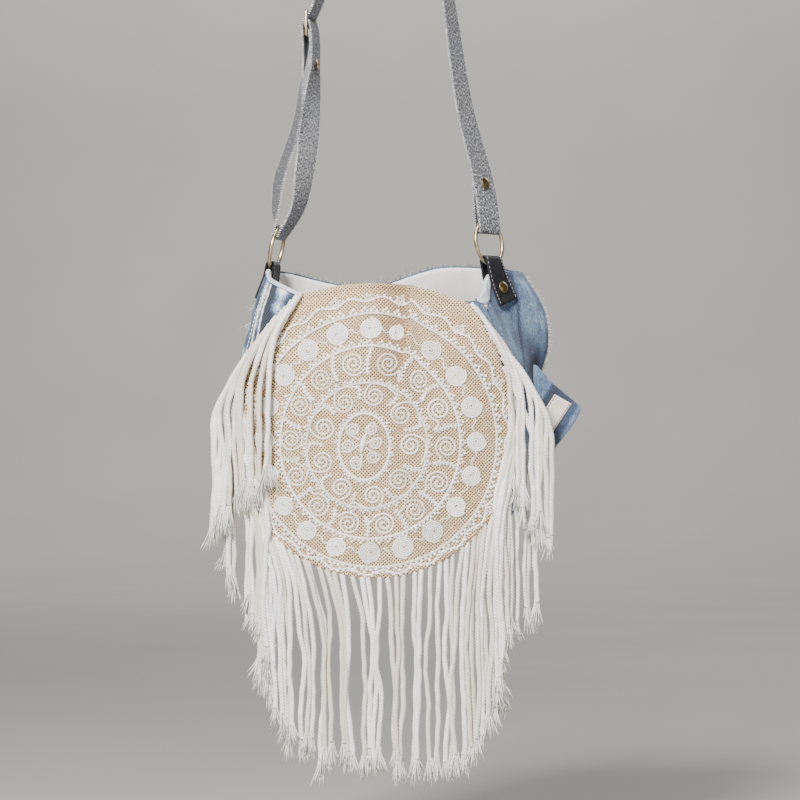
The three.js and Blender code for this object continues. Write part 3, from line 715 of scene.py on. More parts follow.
# Patches of the wash: how much paler, place on the plan, half width, level and half height. The pale ones are
# faded wear;
# the dark ones at 0.0155 and 0.022, beside the front left corner's felled seam, and at 0.445, on the right
# gusset where the folded tail meets it, are painted shadow, and the one at 0.046 is simply darker.
WASH_AND_SHADE_PATCHES = [
    (-1.1, 0.0155, 0.0045, 0.08, 0.09),
    (0.5, 0.030, 0.007, 0.02, 0.03),
    (-0.8, 0.046, 0.008, 0.05, 0.03),
    (0.6, 0.031, 0.008, 0.09, 0.035),
    (-0.8, 0.022, 0.006, 0.155, 0.045),
    (-0.50, 0.445, 0.035, 0.40, 0.10),
]


def wash_and_shade_of(t, w):
    """How far the indigo has faded, 0 dark and 1 pale, with painted shade beside the right gusset's seam and
    in the dark patches.
    """
    wash_and_shade = WASH_BASE
    for paler, place, wide in WASH_WALLS:
        wash_and_shade = wash_and_shade + paler * np.exp(-(apart(t, place) / wide) ** 2)
    for seam in SEAMS:
        away = np.abs(apart(t, seam))
        wash_and_shade += 0.16 * np.exp(-((away - SEAM_HALF) / 0.0022) ** 2)
        wash_and_shade -= 0.12 * np.exp(-((away - SEAM_HALF * 1.9) / 0.003) ** 2)
    past = apart(t, side_seam(w))
    wash_and_shade -= 0.55 * np.exp(-(past / 0.0024) ** 2)
    # Painted shade along the left side of the right gusset's seam
    wash_and_shade -= 0.10 * np.exp(-((past + 0.014) / 0.012) ** 2)
    blotch = np.clip(1.25 - np.abs(apart(t, 0.98)) / 0.10, 0, 1)
    wash_and_shade += 0.7 * blotch * field(apart(t, 0.0) * GIRTH + 160 * w, w * WALL_HEIGHT, 15, 4.0)
    for paler, place, wide, level, high in WASH_AND_SHADE_PATCHES:
        wash_and_shade += paler * np.exp(-(apart(t, place) / wide) ** 2 - ((w - level) / high) ** 2)
    return wash_and_shade - 0.06 * np.exp(-(w / 0.02) ** 2)


POUCH_T = np.linspace(0, 1, 320, endpoint=False)
POUCH_W = np.concatenate([np.linspace(0, 0.08, 7)[:-1], np.linspace(0.08, 1, 56)])
FOOT_SHARES = [0.93, 0.75, 0.5, 0.25]


def ripple_rows(levels):
    return np.array([ripples(POUCH_T, w) for w in levels])


def pouch_face(levels, bumps, offset, floor):
    """Grid of a face of the pouch, each level at its offset from the wall's line, then across its floor."""
    rows = []
    for w, bump, lift in zip(levels, bumps, offset):
        rows.append(wall_offset(POUCH_T, w, lift + bump * (1 - w ** 4)))
    foot = rows[-1]
    foot[:, 2] = floor
    middle = foot.mean(axis=0)
    return np.array(rows + [middle + (foot - middle) * share for share in FOOT_SHARES])


def make_shell(name, outer, inner, material, flat, middle_flat, attributes):
    """Two faces joined along their first rows, each closed by a point in the middle of its last row."""
    rows, columns = outer.shape[:2]
    count = rows * columns
    points = np.concatenate([outer.reshape(-1, 3), inner.reshape(-1, 3),
                             [outer[-1].mean(axis=0), inner[-1].mean(axis=0)]])
    rim = np.arange(columns)
    after = np.roll(rim, -1)
    last = rim + count - columns
    quads = [grid_faces(rows, columns, True), grid_faces(rows, columns, True, count)[:, ::-1],
             np.stack([after, rim, rim + count, after + count], -1)]
    tris = [fan(last, 2 * count), fan(last + count, 2 * count + 1, True)]
    flat = flat.reshape(-1, 2)
    uv = np.concatenate([flat, flat, [middle_flat, middle_flat]])
    values = {}
    for label, table in attributes.items():
        values[label] = np.concatenate([table.ravel(), table.ravel(), table[-1, -1:], table[-1, -1:]])
    faces = [np.concatenate(quads), np.concatenate(tris)]
    return make(name, points, faces, material, uv, attributes=values)


FLOOR_RUN = 40
POUCH_DOWN = np.concatenate([POUCH_W * WALL_HEIGHT, WALL_HEIGHT + FLOOR_RUN * (1 - np.array(FOOT_SHARES))])
POUCH_FLAT = np.stack(np.meshgrid(POUCH_T * GIRTH, POUCH_DOWN), -1)


def pouch(name, outer, inner, material, label, table):
    """Pouch from its two faces, with an attribute that goes on across its floor."""
    table = np.concatenate([table, np.repeat(table[-1:], len(FOOT_SHARES), axis=0)])
    return make_shell(name, outer, inner, material, POUCH_FLAT, (0, 300), {label: table})


raised = np.array([seam_rise(POUCH_T, w) for w in POUCH_W])
level = np.zeros_like(raised)
bumps = ripple_rows(POUCH_W)
wash_and_shade = np.array([wash_and_shade_of(POUCH_T, w) for w in POUCH_W]) + np.clip(bumps * 0.12, -0.2, 0.12)
body = pouch("denim_body", pouch_face(POUCH_W, bumps, raised, BOTTOM_Z),
             pouch_face(POUCH_W, bumps, level - DENIM, BOTTOM_Z + DENIM),
             DENIM_CLOTH, "wash_and_shade", wash_and_shade)
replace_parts(body, "front_panel", "back_panel", "left_gusset", "right_gusset", "base_panel")

# White lining inside it, sewn in a little below the rim
LINING_TOP = 0.005
lining_levels = LINING_TOP + (1 - LINING_TOP) * POUCH_W
bumps = ripple_rows(lining_levels)
inset = DENIM + CLEARANCE
# Painted shade on the lining: darker the deeper it lies inside the bag, and more so on the right side towards
# its back corner
corner = np.exp(-(apart(POUCH_T, 0.46) / 0.05) ** 2)
below = lining_levels[:, None]
lining_shade = np.clip(below * 2.2, 0, 0.45) + 0.5 * corner * np.clip(below * 9, 0, 1)
lining = pouch("lining_cloth", pouch_face(lining_levels, bumps, level - inset, BOTTOM_Z + inset),
               pouch_face(lining_levels, bumps, level - inset - LINING, BOTTOM_Z + inset + LINING),
               LINING_CLOTH, "shade", lining_shade)
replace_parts(lining, "lining")

# Burlap mat with a turned hem at its edge and a pleat below its pinched top
HEM = 7.0
HEM_RISE = 1.2
PLEAT = {"top": 156, "bottom": 20, "place": 24.5, "lean": 0.09, "rise": 12.0, "run": 1.2,
         "spread": 34, "swell": 6.0}


def past_pleat(across, up):
    """Flat distance to the right of the pleat's line."""
    return across - (PLEAT["place"] + PLEAT["lean"] * (up - PLEAT["bottom"]))


def mat_height(across, up):
    """Height of the mat's face off its bed at flat distances from its centre."""
    across, up = np.asarray(across, float), np.asarray(up, float)
    reach = mat_reach(np.arctan2(up, across)) - np.hypot(across, up)
    hem = HEM_RISE * np.clip((HEM - reach) / 2.0, 0, 1) * np.clip(0.4 + reach / 4.0, 0, 1)
    share = np.clip((up - PLEAT["bottom"]) / (PLEAT["top"] - PLEAT["bottom"]), 0, 1)
    past = past_pleat(across, up)
    step = np.clip(0.5 + past / (2 * PLEAT["run"]), 0, 1)
    pleat = PLEAT["rise"] * step * np.exp(-(past / PLEAT["spread"]) ** 2)
    pleat = share ** 0.6 * (pleat + PLEAT["swell"] * np.exp(-((past + 36) / 18) ** 2))
    return MAT_FACE + hem + pleat + 0.55 * field(across, up, 17, 2.0) + 0.3 * field(across, up, 7, 7.0)


def on_mat(across, up, lift):
    return mat_offset(across, up, mat_height(across, up) + lift)


MAT_SPOKES = 256
mat_rings = np.concatenate([np.linspace(2, 144, 62), np.linspace(146, MAT_RADIUS, 7)])[::-1] / MAT_RADIUS
angles = turns_round(MAT_SPOKES)
across, up = (mat_rings[:, None] * mat_reach(angles) * way for way in way_at(angles).T)
# Painted shadow on the mat's face at the pleat: strongest at its line, fading slowly to the left and sharply
# to the right, none low down
beside = past_pleat(across, up)
pleat_shade = np.where(beside < 0, np.exp(beside / 26), np.exp(-beside / 1.5))
pleat_shade = 0.78 * (np.clip((up - PLEAT["bottom"]) / 60, 0, 1) * pleat_shade)
mat = make_shell("burlap_mat", on_mat(across, up, 0.0)[0], mat_offset(across, up, MAT_BACK)[0],
                 BURLAP_CLOTH, np.stack([across - up, across + up], -1) * math.sqrt(0.5), (0, 0),
                 {"shade": pleat_shade})
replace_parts(mat, "front_disc")


# White chain stitch: a roundel of rings, scrolls and coiled discs

def on_ring(ring, turn, share=1.0, past=0.0):
    """Point at an angle on an oval of the roundel, at a share of its size or past it."""
    return np.array(ring["centre"]) + (share * np.array(ring["radii"]) + past) * way_at(turn)


class Stitching:
    """Lines of thread drawn flat on the mat, then raised on its face."""

    def __init__(self):
        self.tubes = Tubes()

    def line(self, points, half, step=1.3, stitch=3.0, taper=0.0):
        points = np.asarray(points, float)
        gone = gone_along(points)
        places = np.linspace(0, gone[-1], max(int(gone[-1] / step), 3) + 1)
        path, out = on_mat(*read_along(places, gone, points).T, 0.25 * half)
        swell = 0.72 + 0.28 * np.abs(np.sin(math.pi * places / stitch))
        if taper:
            swell *= np.clip(np.minimum(places, gone[-1] - places) / taper, 0.25, 1) ** 0.6
        self.tubes.sweep(path, out, swell * half, circle(6, 1.0, 0.72), places, rng.uniform(-0.06, 0.1))

    def ring(self, ring, half, wobble=0.0, waves=0):
        turn = np.linspace(0, TURN * 1.004, 260)
        points = on_ring(ring, turn, 1 + wobble * np.sin(waves * turn)[:, None])
        self.line(points, half)
        return points

    def knot(self, foot, way, tall, half):
        """Small round knot standing on its foot."""
        u = np.array([0.0, 0.25, 0.5, 0.75, 1.0])
        flat = foot + np.outer(tall * u, way)
        path, out = on_mat(flat[:, 0], flat[:, 1], 0.3 * half)
        swell = half * np.array([0.55, 0.92, 1.0, 0.9, 0.5])
        self.tubes.sweep(path, out, swell, circle(7, 1.0, 0.8), u * tall, rng.uniform(0.0, 0.16))

    def picots(self, ring, count, tall):
        """Three-lobed knots standing on the outside of a ring."""
        for k in range(count):
            turn = TURN * (k + rng.uniform(-0.12, 0.12)) / count
            foot = on_ring(ring, turn, past=0.8)
            heading = way_at(turn + rng.uniform(-0.2, 0.2))
            for aside, rise in ((-0.4, 0.0), (0.0, 0.45), (0.4, 0.0)):
                shift = tall * (aside * left_of(heading) + rise * heading)
                self.knot(foot + shift, heading, 0.5 * tall, 0.26 * tall)

    def beaded(self, points, space, half, outside):
        """Small knots along one side of a line."""
        points = np.asarray(points, float)
        gone = gone_along(points)
        for place in np.arange(space * 0.5, gone[-1] - space * 0.4, space):
            here, ahead = read_along((place, place + 0.5), gone, points)
            way = -outside * left_of(unit(ahead - here))
            self.knot(here + way * 0.7, way, rng.uniform(1.7, 2.4), half * rng.uniform(0.85, 1.1))

    def stem(self, first, last, bow, half):
        """Curved stem with knots down both sides."""
        u = np.linspace(0, 1, 14)[:, None]
        way = np.subtract(last, first)
        points = np.asarray(first) + way * u + bow * left_of(way) * np.sin(math.pi * u)
        self.line(points, half)
        for outside in (-1, 1):
            self.beaded(points, space=4.0, half=1.3, outside=outside)

    def spiral(self, centre, outer, inner, turns, start, sense, half, tail=None):
        """Scroll from its eye outwards, with a curved tail to a point when one is given."""
        s = np.linspace(0, 1, int(28 * turns))
        radius = inner + (outer - inner) * s
        turn = start + sense * TURN * turns * (s - 1)
        points = np.asarray(centre) + radius[:, None] * way_at(turn)
        if tail is not None:
            heading = unit(points[-1] - points[-3])
            bend = points[-1] + heading * np.linalg.norm(np.asarray(tail) - points[-1]) * 0.6
            u = np.linspace(0, 1, 14)[1:, None]
            curve = (1 - u) ** 2 * points[-1] + 2 * u * (1 - u) * bend + u ** 2 * np.asarray(tail)
            points = np.concatenate([points, curve])
        self.line(points, half)
        return points

    def leaf(self, foot, way, length, half):
        self.line([foot, foot + way * length], half, step=0.9, stitch=20.0, taper=length * 0.5)


OVAL = {"centre": (-10.5, -16.0), "radii": (26.5, 35.0)}
SECOND = {"centre": (-8.0, -15.0), "radii": (63.5, 65.7)}
THIRD = {"centre": (-4.5, -12.0), "radii": (95.0, 100.5)}
DOTS = {"centre": (-4.5, -10.3), "radii": (112.5, 117.0), "count": 20, "size": 11.0}
FOURTH = {"centre": (0.0, -10.0), "radii": (130.5, 132.5)}
OUTER = {"centre": (0.0, -5.5), "radii": (142.5, 143.0), "waves": 26}
SEED = (-12.5, -13.5)
CURLS = [(-9.5, 15.5, 2.4), (8.5, 16.0, 0.7), (-14.5, -2.0, 3.5), (13.0, 1.5, 0.1), (10.5, -13.5, 5.6),
         (-6.6, -19.0, 4.4)]
TUCKED_DOT = 4
TUCKED_SHIFT = 0.075
TUCKED_SIZE = 0.8
DOT_PITCH = 2.45
RING_HALF = 1.6
CURL_HALF = 1.2

inner_work = Stitching()
inner_work.line([np.add(SEED, (-1.6, -9.5)), np.add(SEED, (1.8, 9.5))],
                half=3.3, step=0.9, stitch=40.0, taper=7.0)
for x, y, facing in CURLS:
    inner_work.spiral(np.add(SEED, (x, y)), outer=6.3, inner=1.0, turns=1.9, start=facing, sense=1,
                      half=CURL_HALF, tail=np.add(SEED, (0.25 * x, 0.3 * y)))
inner_work.ring(OVAL, RING_HALF)
inner_work.picots(OVAL, count=27, tall=4.8)
SCROLLS_IN = 9
for k in range(SCROLLS_IN):
    turn = TURN * (k + rng.uniform(-0.08, 0.08)) / SCROLLS_IN
    half_turn = math.pi / SCROLLS_IN
    low, high = on_ring(OVAL, turn), on_ring(SECOND, turn)
    eye = low + (high - low) * rng.uniform(0.54, 0.60)
    size = min(12.2, np.linalg.norm(high - low) * 0.35) * rng.uniform(0.92, 1.06)
    inner_work.spiral(eye, size, inner=1.2, turns=2.2, start=turn + rng.uniform(0.75, 1.1), sense=-1,
                      half=CURL_HALF, tail=on_ring(SECOND, turn - half_turn, share=0.94))
    root = on_ring(SECOND, turn + half_turn, share=0.97)
    tip = on_ring(OVAL, turn + half_turn, past=9.0)
    inner_work.stem(root, root + 0.72 * (tip - root), bow=rng.uniform(0.08, 0.16), half=1.1)
inner_work.ring(SECOND, RING_HALF)
inner_work.picots(SECOND, count=46, tall=5.6)
SCROLLS_OUT = 14
for k in range(SCROLLS_OUT):
    turn = TURN * (k - 0.1 + rng.uniform(-0.08, 0.08)) / SCROLLS_OUT
    half_turn = math.pi / SCROLLS_OUT
    low, high = on_ring(SECOND, turn), on_ring(THIRD, turn)
    eye = low + (high - low) * rng.uniform(0.57, 0.61)
    size = rng.uniform(12.0, 13.2)
    inner_work.spiral(eye, size, inner=1.2, turns=2.4, start=turn - rng.uniform(2.0, 2.4), sense=1,
                      half=CURL_HALF, tail=on_ring(SECOND, turn - half_turn * 0.96, share=1.13))
    root = on_ring(THIRD, turn + half_turn, share=0.985)
    tip = on_ring(SECOND, turn + half_turn, past=8.5)
    inner_work.stem(root, tip, bow=rng.uniform(-0.16, -0.08), half=1.2)
inner_work.ring(THIRD, RING_HALF)
inner_stitch = inner_work.tubes.build("embroidery_scrolls", WHITE_THREAD, "cotton")

outer_work = Stitching()
outer_work.picots(THIRD, count=64, tall=6.0)


def dot_turn(k):
    """Angle of one coiled disc on its ring. The tuck in the mat has drawn one of them aside."""
    return TURN * k / DOTS["count"] + (TUCKED_SHIFT if k == TUCKED_DOT else 0.0)


for k in range(DOTS["count"]):
    turn = dot_turn(k)
    eye, ahead = on_ring(DOTS, turn), on_ring(DOTS, dot_turn(k + 1))
    size = DOTS["size"] * rng.uniform(0.93, 1.06)
    if k == TUCKED_DOT:
        size *= TUCKED_SIZE
    outer_work.spiral(eye, size, inner=0.9, turns=size / DOT_PITCH, start=turn, sense=1, half=1.28)
    heading = unit(ahead - eye)
    u = np.linspace(0, 1, 12)[:, None]
    link = eye + heading * size + (ahead - eye - 2 * heading * size) * u
    outer_work.line(link + left_of(heading) * 2.6 * np.sin(TURN * u), half=0.8)
outer_work.ring(FOURTH, RING_HALF)
outer_work.picots(FOURTH, count=72, tall=6.8)
border = outer_work.ring(OUTER, half=1.25, wobble=0.018, waves=OUTER["waves"])
outer_work.beaded(border, space=6.2, half=1.5, outside=1)
for k in range(OUTER["waves"]):
    turn = TURN * (k + 0.75 + rng.uniform(-0.05, 0.05)) / OUTER["waves"]
    eye = on_ring(OUTER, turn)
    edge_room = MAT_RADIUS - HEM - np.hypot(*eye)
    if edge_room > 0 and k % 2:
        curl = outer_work.spiral(eye + way_at(turn) * 2.0, outer=5.4, inner=0.9, turns=1.9, start=turn,
                                 sense=1, half=0.95)
        outer_work.beaded(curl[len(curl) // 2:], space=4.2, half=1.0, outside=1)
    elif edge_room > 2:
        for spread in (-0.8, 0.0, 0.8):
            heading = way_at(turn + spread)
            outer_work.leaf(eye + 1.5 * heading, heading, length=5.0, half=1.5)
outer_stitch = outer_work.tubes.build("embroidery_border", WHITE_THREAD, "cotton")

# Cotton fringe: twisted cords knotted into the mat's edge, with frayed ends
CORD_RADIUS = 2.9
CORD_STEP = 1.7
CORD_TURN = 10.5
CORD_LOBES = 3
FRINGE_FLOOR = -1232
CORNER_SLOPE = 0.9
FACING = -0.6
SETTLE = 0.45
CORD_SWAY = 5.2
CORD_CRIMP = 1.2
CORD_LIFT = 1.6
CORD_EASE = 14.0
FRINGE_COLUMNS = ("piece", "first", "last", "cords", "hang_first", "hang_last", "drop_first", "drop_last",
                  "layer")
FRINGE = [
    ("fringe_left", 118, 149, 14, -122, -184, 186, 182, 11.0),
    ("fringe_left", 151, 193, 15, -178, -136, 226, 232, 6.5),
    ("fringe_bottom", 195, 345, 44, -133, 122, 226, 224, 5.0),
    ("fringe_right", 347, 387, 14, 128, 163, 244, 244, 6.5),
    ("fringe_right", 390, 412, 11, 176, 128, 198, 178, 11.0),
]
# Lowest height of a tuft's start, by where its cord hangs
FRINGE_ENDS = [(-187, -948), (-171, -985), (-155, -1040), (-144, -1092), (-123, -1130), (-104, -1172),
               (-91, -1186), (-75, -1197), (0, -1206), (30, -1210), (100, -1203), (115, -1190), (126, -1172),
               (137, -1162), (147, -1110), (163, -1064), (171, -1022), (176, -972), (184, -944)]
BUNCH_PULL = 0.34
TUFT_FIBRES = 30
OUTER_LAYER = 8

_faced = {}


def front_y(x, z, offset):
    """Depth of a cord's line at this offset in front of the mat's bed, also beyond its corners."""
    key = round(mat_level(z), 2), round(offset, 1)
    if key not in _faced:
        points = mat_profile(key[0])[0]
        along = unit(points[2:] - points[:-2])
        out = np.stack([along[:, 1], -along[:, 0]], -1)
        keep = out[:, 1] < FACING
        _faced[key] = (points[1:-1] + out * key[1])[keep]
    line = _faced[key]
    inside = min(max(x, line[0, 0]), line[-1, 0])
    return float(np.interp(inside, line[:, 0], line[:, 1])) + abs(x - inside) * CORNER_SLOPE


def cord_section(twist):
    angle = turns_round(3 * CORD_LOBES)
    radius = 0.70 + 0.34 * np.abs(np.cos(1.5 * angle)) ** 0.8
    return radius[:, None] * way_at(angle + twist[:, None])


def cord_path(start, hang, drop, offset, seed):
    """Line of one cord from the mat's edge down to where its tuft begins."""
    count = int(drop / CORD_STEP)
    s = np.linspace(0, 1, count + 1)
    swing = np.sin(np.minimum(s / SETTLE, 1) * math.pi / 2)
    loose = np.clip(s * 3, 0, 1)

    def waves(long, layer):
        return np.array([noise.noise(Vector((v * drop / long, seed, layer))) for v in s])

    aside = CORD_SWAY * waves(62.0, 0.3) + CORD_CRIMP * waves(17.0, 5.3)
    x = start[0] + (hang - start[0]) * swing + loose * aside
    z = start[2] - s * drop
    y = np.array([front_y(a, b, offset) for a, b in zip(x, z)]) + loose * CORD_LIFT * waves(60.0, 8.8)
    y = np.minimum(y, start[1]) if offset > OUTER_LAYER else y
    y = start[1] + (y - start[1]) * np.clip(s * drop / CORD_EASE, 0, 1)
    window = 9
    padded = np.concatenate([np.full(window, y[0]), y, np.full(window, y[-1])])
    y = np.convolve(padded, np.ones(2 * window + 1) / (2 * window + 1), "valid")
    return np.stack([x, y, z], -1)


def add_tuft(tubes, end, heading):
    """Frayed fibres spreading from the end of a cord."""
    wide = rng.uniform(5.2, 9.8)
    lean = rng.uniform(-4.0, 4.0)
    tall = rng.uniform(0.85, 1.15)
    for k in range(TUFT_FIBRES):
        turn = TURN * (k + rng.random()) / TUFT_FIBRES
        core = rng.uniform(0.3, 2.3)
        spread = rng.uniform(0.15, 1.0) * wide
        length = rng.uniform(17, 28) * tall
        s = np.linspace(0, 1, 5)
        drift = rng.uniform(-2.2, 2.2) + lean
        open_out = core + spread * s ** 1.25
        x = end[0] + np.cos(turn) * open_out + drift * s ** 2
        y = end[1] + 0.75 * np.sin(turn) * open_out
        z = end[2] + 3.0 - length * s
        path = np.stack([x, y, np.maximum(z, FRINGE_FLOOR - 8 + 3 * s)], -1) + heading * 4 * s[:, None]
        tubes.sweep(path, (0.31, -0.95, 0.02), np.linspace(0.78, 0.36, 5), circle(3), s * length,
                    rng.uniform(0.0, 0.2))


def bunched(hangs):
    """Draw neighbouring cords together in twos to fours."""
    hangs = np.array(hangs)
    first = 0
    while first < len(hangs):
        last = first + rng.choice((2, 2, 3, 4))
        group = hangs[first:last]
        hangs[first:last] = group + (group.mean() - group) * BUNCH_PULL
        first = last
    return hangs


for piece in ("fringe_left", "fringe_bottom", "fringe_right"):
    tubes = Tubes()
    for row in (dict(zip(FRINGE_COLUMNS, r)) for r in FRINGE if r[0] == piece):
        row_shares = np.arange(row["cords"]) + [rng.uniform(-0.3, 0.3) for _ in range(row["cords"])]
        row_shares = row_shares / (row["cords"] - 1)
        row_turns = np.radians(row["first"] + (row["last"] - row["first"]) * row_shares)
        edge_cos = [math.cos(math.radians(row[key])) for key in ("first", "last")]
        reaches = (np.cos(row_turns) - edge_cos[0]) / (edge_cos[1] - edge_cos[0])
        row_hangs = bunched(row["hang_first"] + (row["hang_last"] - row["hang_first"]) * reaches)
        for share, turn, hang in zip(row_shares, row_turns, row_hangs):
            hang += rng.uniform(-2, 2)
            radius = float(mat_reach(turn)) + (-0.5 if piece == "fringe_bottom" else 1.0)
            lift = 1.0 if piece == "fringe_bottom" else 5.0
            start = mat_offset(*(radius * way_at(turn)), lift)[0]
            drop = row["drop_first"] + (row["drop_last"] - row["drop_first"]) * share + rng.uniform(-12, 10)
            lowest = np.interp(hang, *zip(*FRINGE_ENDS)) + rng.uniform(-9, 14)
            drop = min(drop, start[2] - max(lowest, FRINGE_FLOOR + 16))
            seed = rng.uniform(0, 90)
            offset = round(row["layer"] + rng.uniform(-3.0, 3.2), 1)
            path = cord_path(start, hang, drop, offset, seed)
            gone = np.linspace(0, drop, len(path))
            twist = TURN * gone / CORD_TURN + seed
            size = CORD_RADIUS * rng.uniform(0.9, 1.06)
            tubes.sweep(path, (0.0, -1.0, 0.05), size, cord_section(twist), gone,
                        rng.choice((-0.2, -0.06, 0.1, 0.14)))
            add_tuft(tubes, path[-1], unit(path[-1] - path[-6]) * [1, 1, 0])
    cords = tubes.build(piece + "_cords", COTTON_CORD, "cotton")
    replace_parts(cords, piece)


# Strap hardware

def hardware_frame(spec):
    """Axes at one side's ring: along the rim, out of the bag and up, with a call for places there."""
    t, sense, lean, rise = spec["t"], spec["sense"], spec["lean"], spec["rise"]
    before, after = plan(np.array([t - 0.01, t + 0.01]), 0.0)
    along = np.append(unit(after - before), 0.0) * sense
    up_way = unit(np.array([lean, 0.0, 1.0]))
    low = wall_offset(t, 0.0, -WALL_THICK / 2) + [0, 0, rise]
    outward = unit(np.cross(along, up_way))
    upright = unit(np.cross(outward, along))

    def at(out, height):
        return low + out * outward + height * upright

    turn = math.degrees(math.atan2(along[1], along[0]))
    first, last = wall(np.array([t - 0.01, t + 0.01]), 0.0)
    return {"t": t, "sense": sense, "along": along, "outward": outward, "upright": upright, "at": at,
            "turn": turn, "hollow": spec["hollow"], "speed": np.linalg.norm(last - first) / 0.02}


FRAMES = {side: hardware_frame(spec) for side, spec in HARDWARE.items()}


def fold_seat(width):
    return math.sqrt((RING_RADIUS - RING_WIRE) ** 2 - (width / 2) ** 2) - CLEARANCE


def wire_ring(name, place):
    """Bent wire ring with the thin line of its joint."""
    tubes = Tubes()
    gap = 0.012
    steps = 97
    turn = np.linspace(gap, TURN - gap, steps) + (0.9 if place["sense"] > 0 else 2.4)
    centre = place["at"](0, RING_RADIUS)
    way = np.cos(turn)[:, None] * place["along"] + np.sin(turn)[:, None] * place["upright"]
    path = centre + RING_RADIUS * way
    out = np.broadcast_to(place["outward"], way.shape)
    rounding = np.ones(steps)
    rounding[[0, -1]] = 0.82
    tubes.add(path, way, out, RING_WIRE * rounding, circle(14), turn * RING_RADIUS)
    return tubes.build(name, BRASS, "brass")


def rivet_cap(name, seat, way, node):
    """Domed cap with a rolled rim and a small dimple."""
    profile = [(0.0, 1.75), (1.5, 1.78), (2.4, 2.05), (3.6, 2.12), (4.9, 1.85), (5.7, 1.25), (6.1, 1.0),
               (6.5, 0.85), (6.5, 0.3), (6.3, 0.0), (0.0, 0.0)]
    sides = 28
    way = unit(np.asarray(way, float))
    side = unit(np.cross(way, (0.2, 0.9, 0.1)))
    other = np.cross(way, side)
    turn = turns_round(sides)
    spokes = np.cos(turn)[:, None] * side + np.sin(turn)[:, None] * other
    rings = [seat + radius * spokes + height * way for radius, height in profile[1:-1]]
    points = np.concatenate([np.concatenate(rings), [seat + profile[0][1] * way, seat]])
    inmost = np.arange(sides)
    tris = [fan(inmost, len(points) - 2), fan(inmost + (len(rings) - 1) * sides, len(points) - 1, True)]
    cap = make(name, points, [grid_faces(len(rings), sides, True)[:, ::-1], np.concatenate(tris)],
               DARK_BRASS)
    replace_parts(cap, node)


for side in ("left", "right"):
    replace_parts(wire_ring(side + "_wire_ring", FRAMES[side]), side + "_ring")

# Leather tabs folded through the rings, with pale stitches along their edges
TAB_COLUMNS = np.concatenate([[-1.0, -0.985], np.linspace(-0.95, 0.95, 15), [0.985, 1.0]])


def arc(radius, first, last, count, base=0.0):
    """Places on part of a circle, as pairs of the way out and the height."""
    return [(radius * math.cos(a), base + radius * math.sin(a)) for a in np.linspace(first, last, count)]


def wall_across(place, spread, w, out):
    """Line of a tab across the wall at one level."""
    spots = place["t"] + place["sense"] * spread / place["speed"]
    return wall_offset(spots, w, np.full(len(spread), out))


def tab_leg(place, spread, w, out):
    """Line across a tab's outer leg: it follows a round wall and lies straight across a hollow one."""
    if not place["hollow"]:
        return wall_across(place, spread, w, out)
    near, far = wall_across(place, np.array([-TAB_WIDTH / 2, TAB_WIDTH / 2]), w, out)
    return near + (far - near) * (spread / TAB_WIDTH + 0.5)[:, None]


def tab_rows(place, spread):
    """Rows of a tab's middle face from the foot of its outer leg, over the ring and down inside."""
    t, sense = place["t"], place["sense"]
    height = float(rim_z(t)) - BOTTOM_Z
    fold_radius = RING_WIRE + TAB_GAP + TAB_THICK / 2
    fold_height = RING_RADIUS - fold_seat(TAB_WIDTH) - RING_WIRE - TAB_GAP
    leg_out = TAB_GAP + TAB_THICK / 2
    leg_in = -(WALL_THICK + 2.5 * TAB_GAP + TAB_THICK / 2)
    drops = np.concatenate([[TAB_LEG, TAB_LEG - 0.5], np.linspace(TAB_LEG - 2, 4, 14)])
    rows = []
    for drop in drops:
        rows.append(tab_leg(place, spread, drop / height, leg_out))
    for out, up in arc(fold_radius, 0, math.pi, 15, fold_height):
        rows.append(place["at"](sense * out, up) + spread[:, None] * place["along"])
    for drop in drops[::-1]:
        rows.append(wall_across(place, spread, drop / height, leg_in))
    return np.array(rows)


def smooth_rows(rows):
    """Ease the joins between a tab's legs and its fold."""
    eased = rows.copy()
    eased[1:-1] = 0.25 * rows[:-2] + 0.5 * rows[1:-1] + 0.25 * rows[2:]
    return eased


def add_stitch(tubes, gone, line, out, start, long, lift, radii, shade):
    """One short raised stitch along a line, from the distance gone at each of its points."""
    places = np.linspace(start, start + long, 5)
    way = unit(read_along(places, gone, out))
    path = read_along(places, gone, line) + way * lift
    tubes.sweep(path, way, radii, circle(6), places, shade)


TAB_EDGE_STITCH = 0.84
TAB_STITCH = 0.32 * np.array([0.5, 0.9, 1.0, 0.9, 0.5])
TAB_STITCH_LONG = 2.9
TAB_STITCH_PITCH = 4.2
TAB_MIDDLE = len(TAB_COLUMNS) // 2
for side, place in FRAMES.items():
    spread = TAB_COLUMNS * TAB_WIDTH / 2
    swell = TAB_THICK / 2
    middle = smooth_rows(smooth_rows(tab_rows(place, spread)))
    normal = unit(np.cross(np.gradient(middle, axis=1), np.gradient(middle, axis=0)))
    facing = np.sign(np.sum(normal[2, TAB_MIDDLE] * wall_normal(place["t"], 0.08)))
    normal = normal * facing
    thin = np.clip((1 - np.abs(TAB_COLUMNS)) / 0.03, 0.35, 1)[None, :, None] * np.ones((len(middle), 1, 1))
    thin[[0, -1]] *= 0.45
    lift = normal * swell * thin
    gone = gone_along(middle[:, TAB_MIDDLE])
    leather = make_sheet(side + "_tab_leather", middle + lift, middle - lift, LEATHER, "leather",
                         np.stack(np.meshgrid(spread, gone), -1), facing < 0)
    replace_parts(leather, side + "_tab")
    stitches = Tubes()
    for column in (-TAB_EDGE_STITCH, TAB_EDGE_STITCH):
        line, out = (np.array([read_along(column, TAB_COLUMNS, row) for row in grid])
                     for grid in (middle, normal))
        for start in np.arange(2.0, gone[-1] - 4.0, TAB_STITCH_PITCH):
            add_stitch(stitches, gone, line, out, start, TAB_STITCH_LONG, swell + 0.12, TAB_STITCH,
                       shade=-0.3)
    stitches.build(side + "_tab_stitches", GREY_THREAD, "cotton")

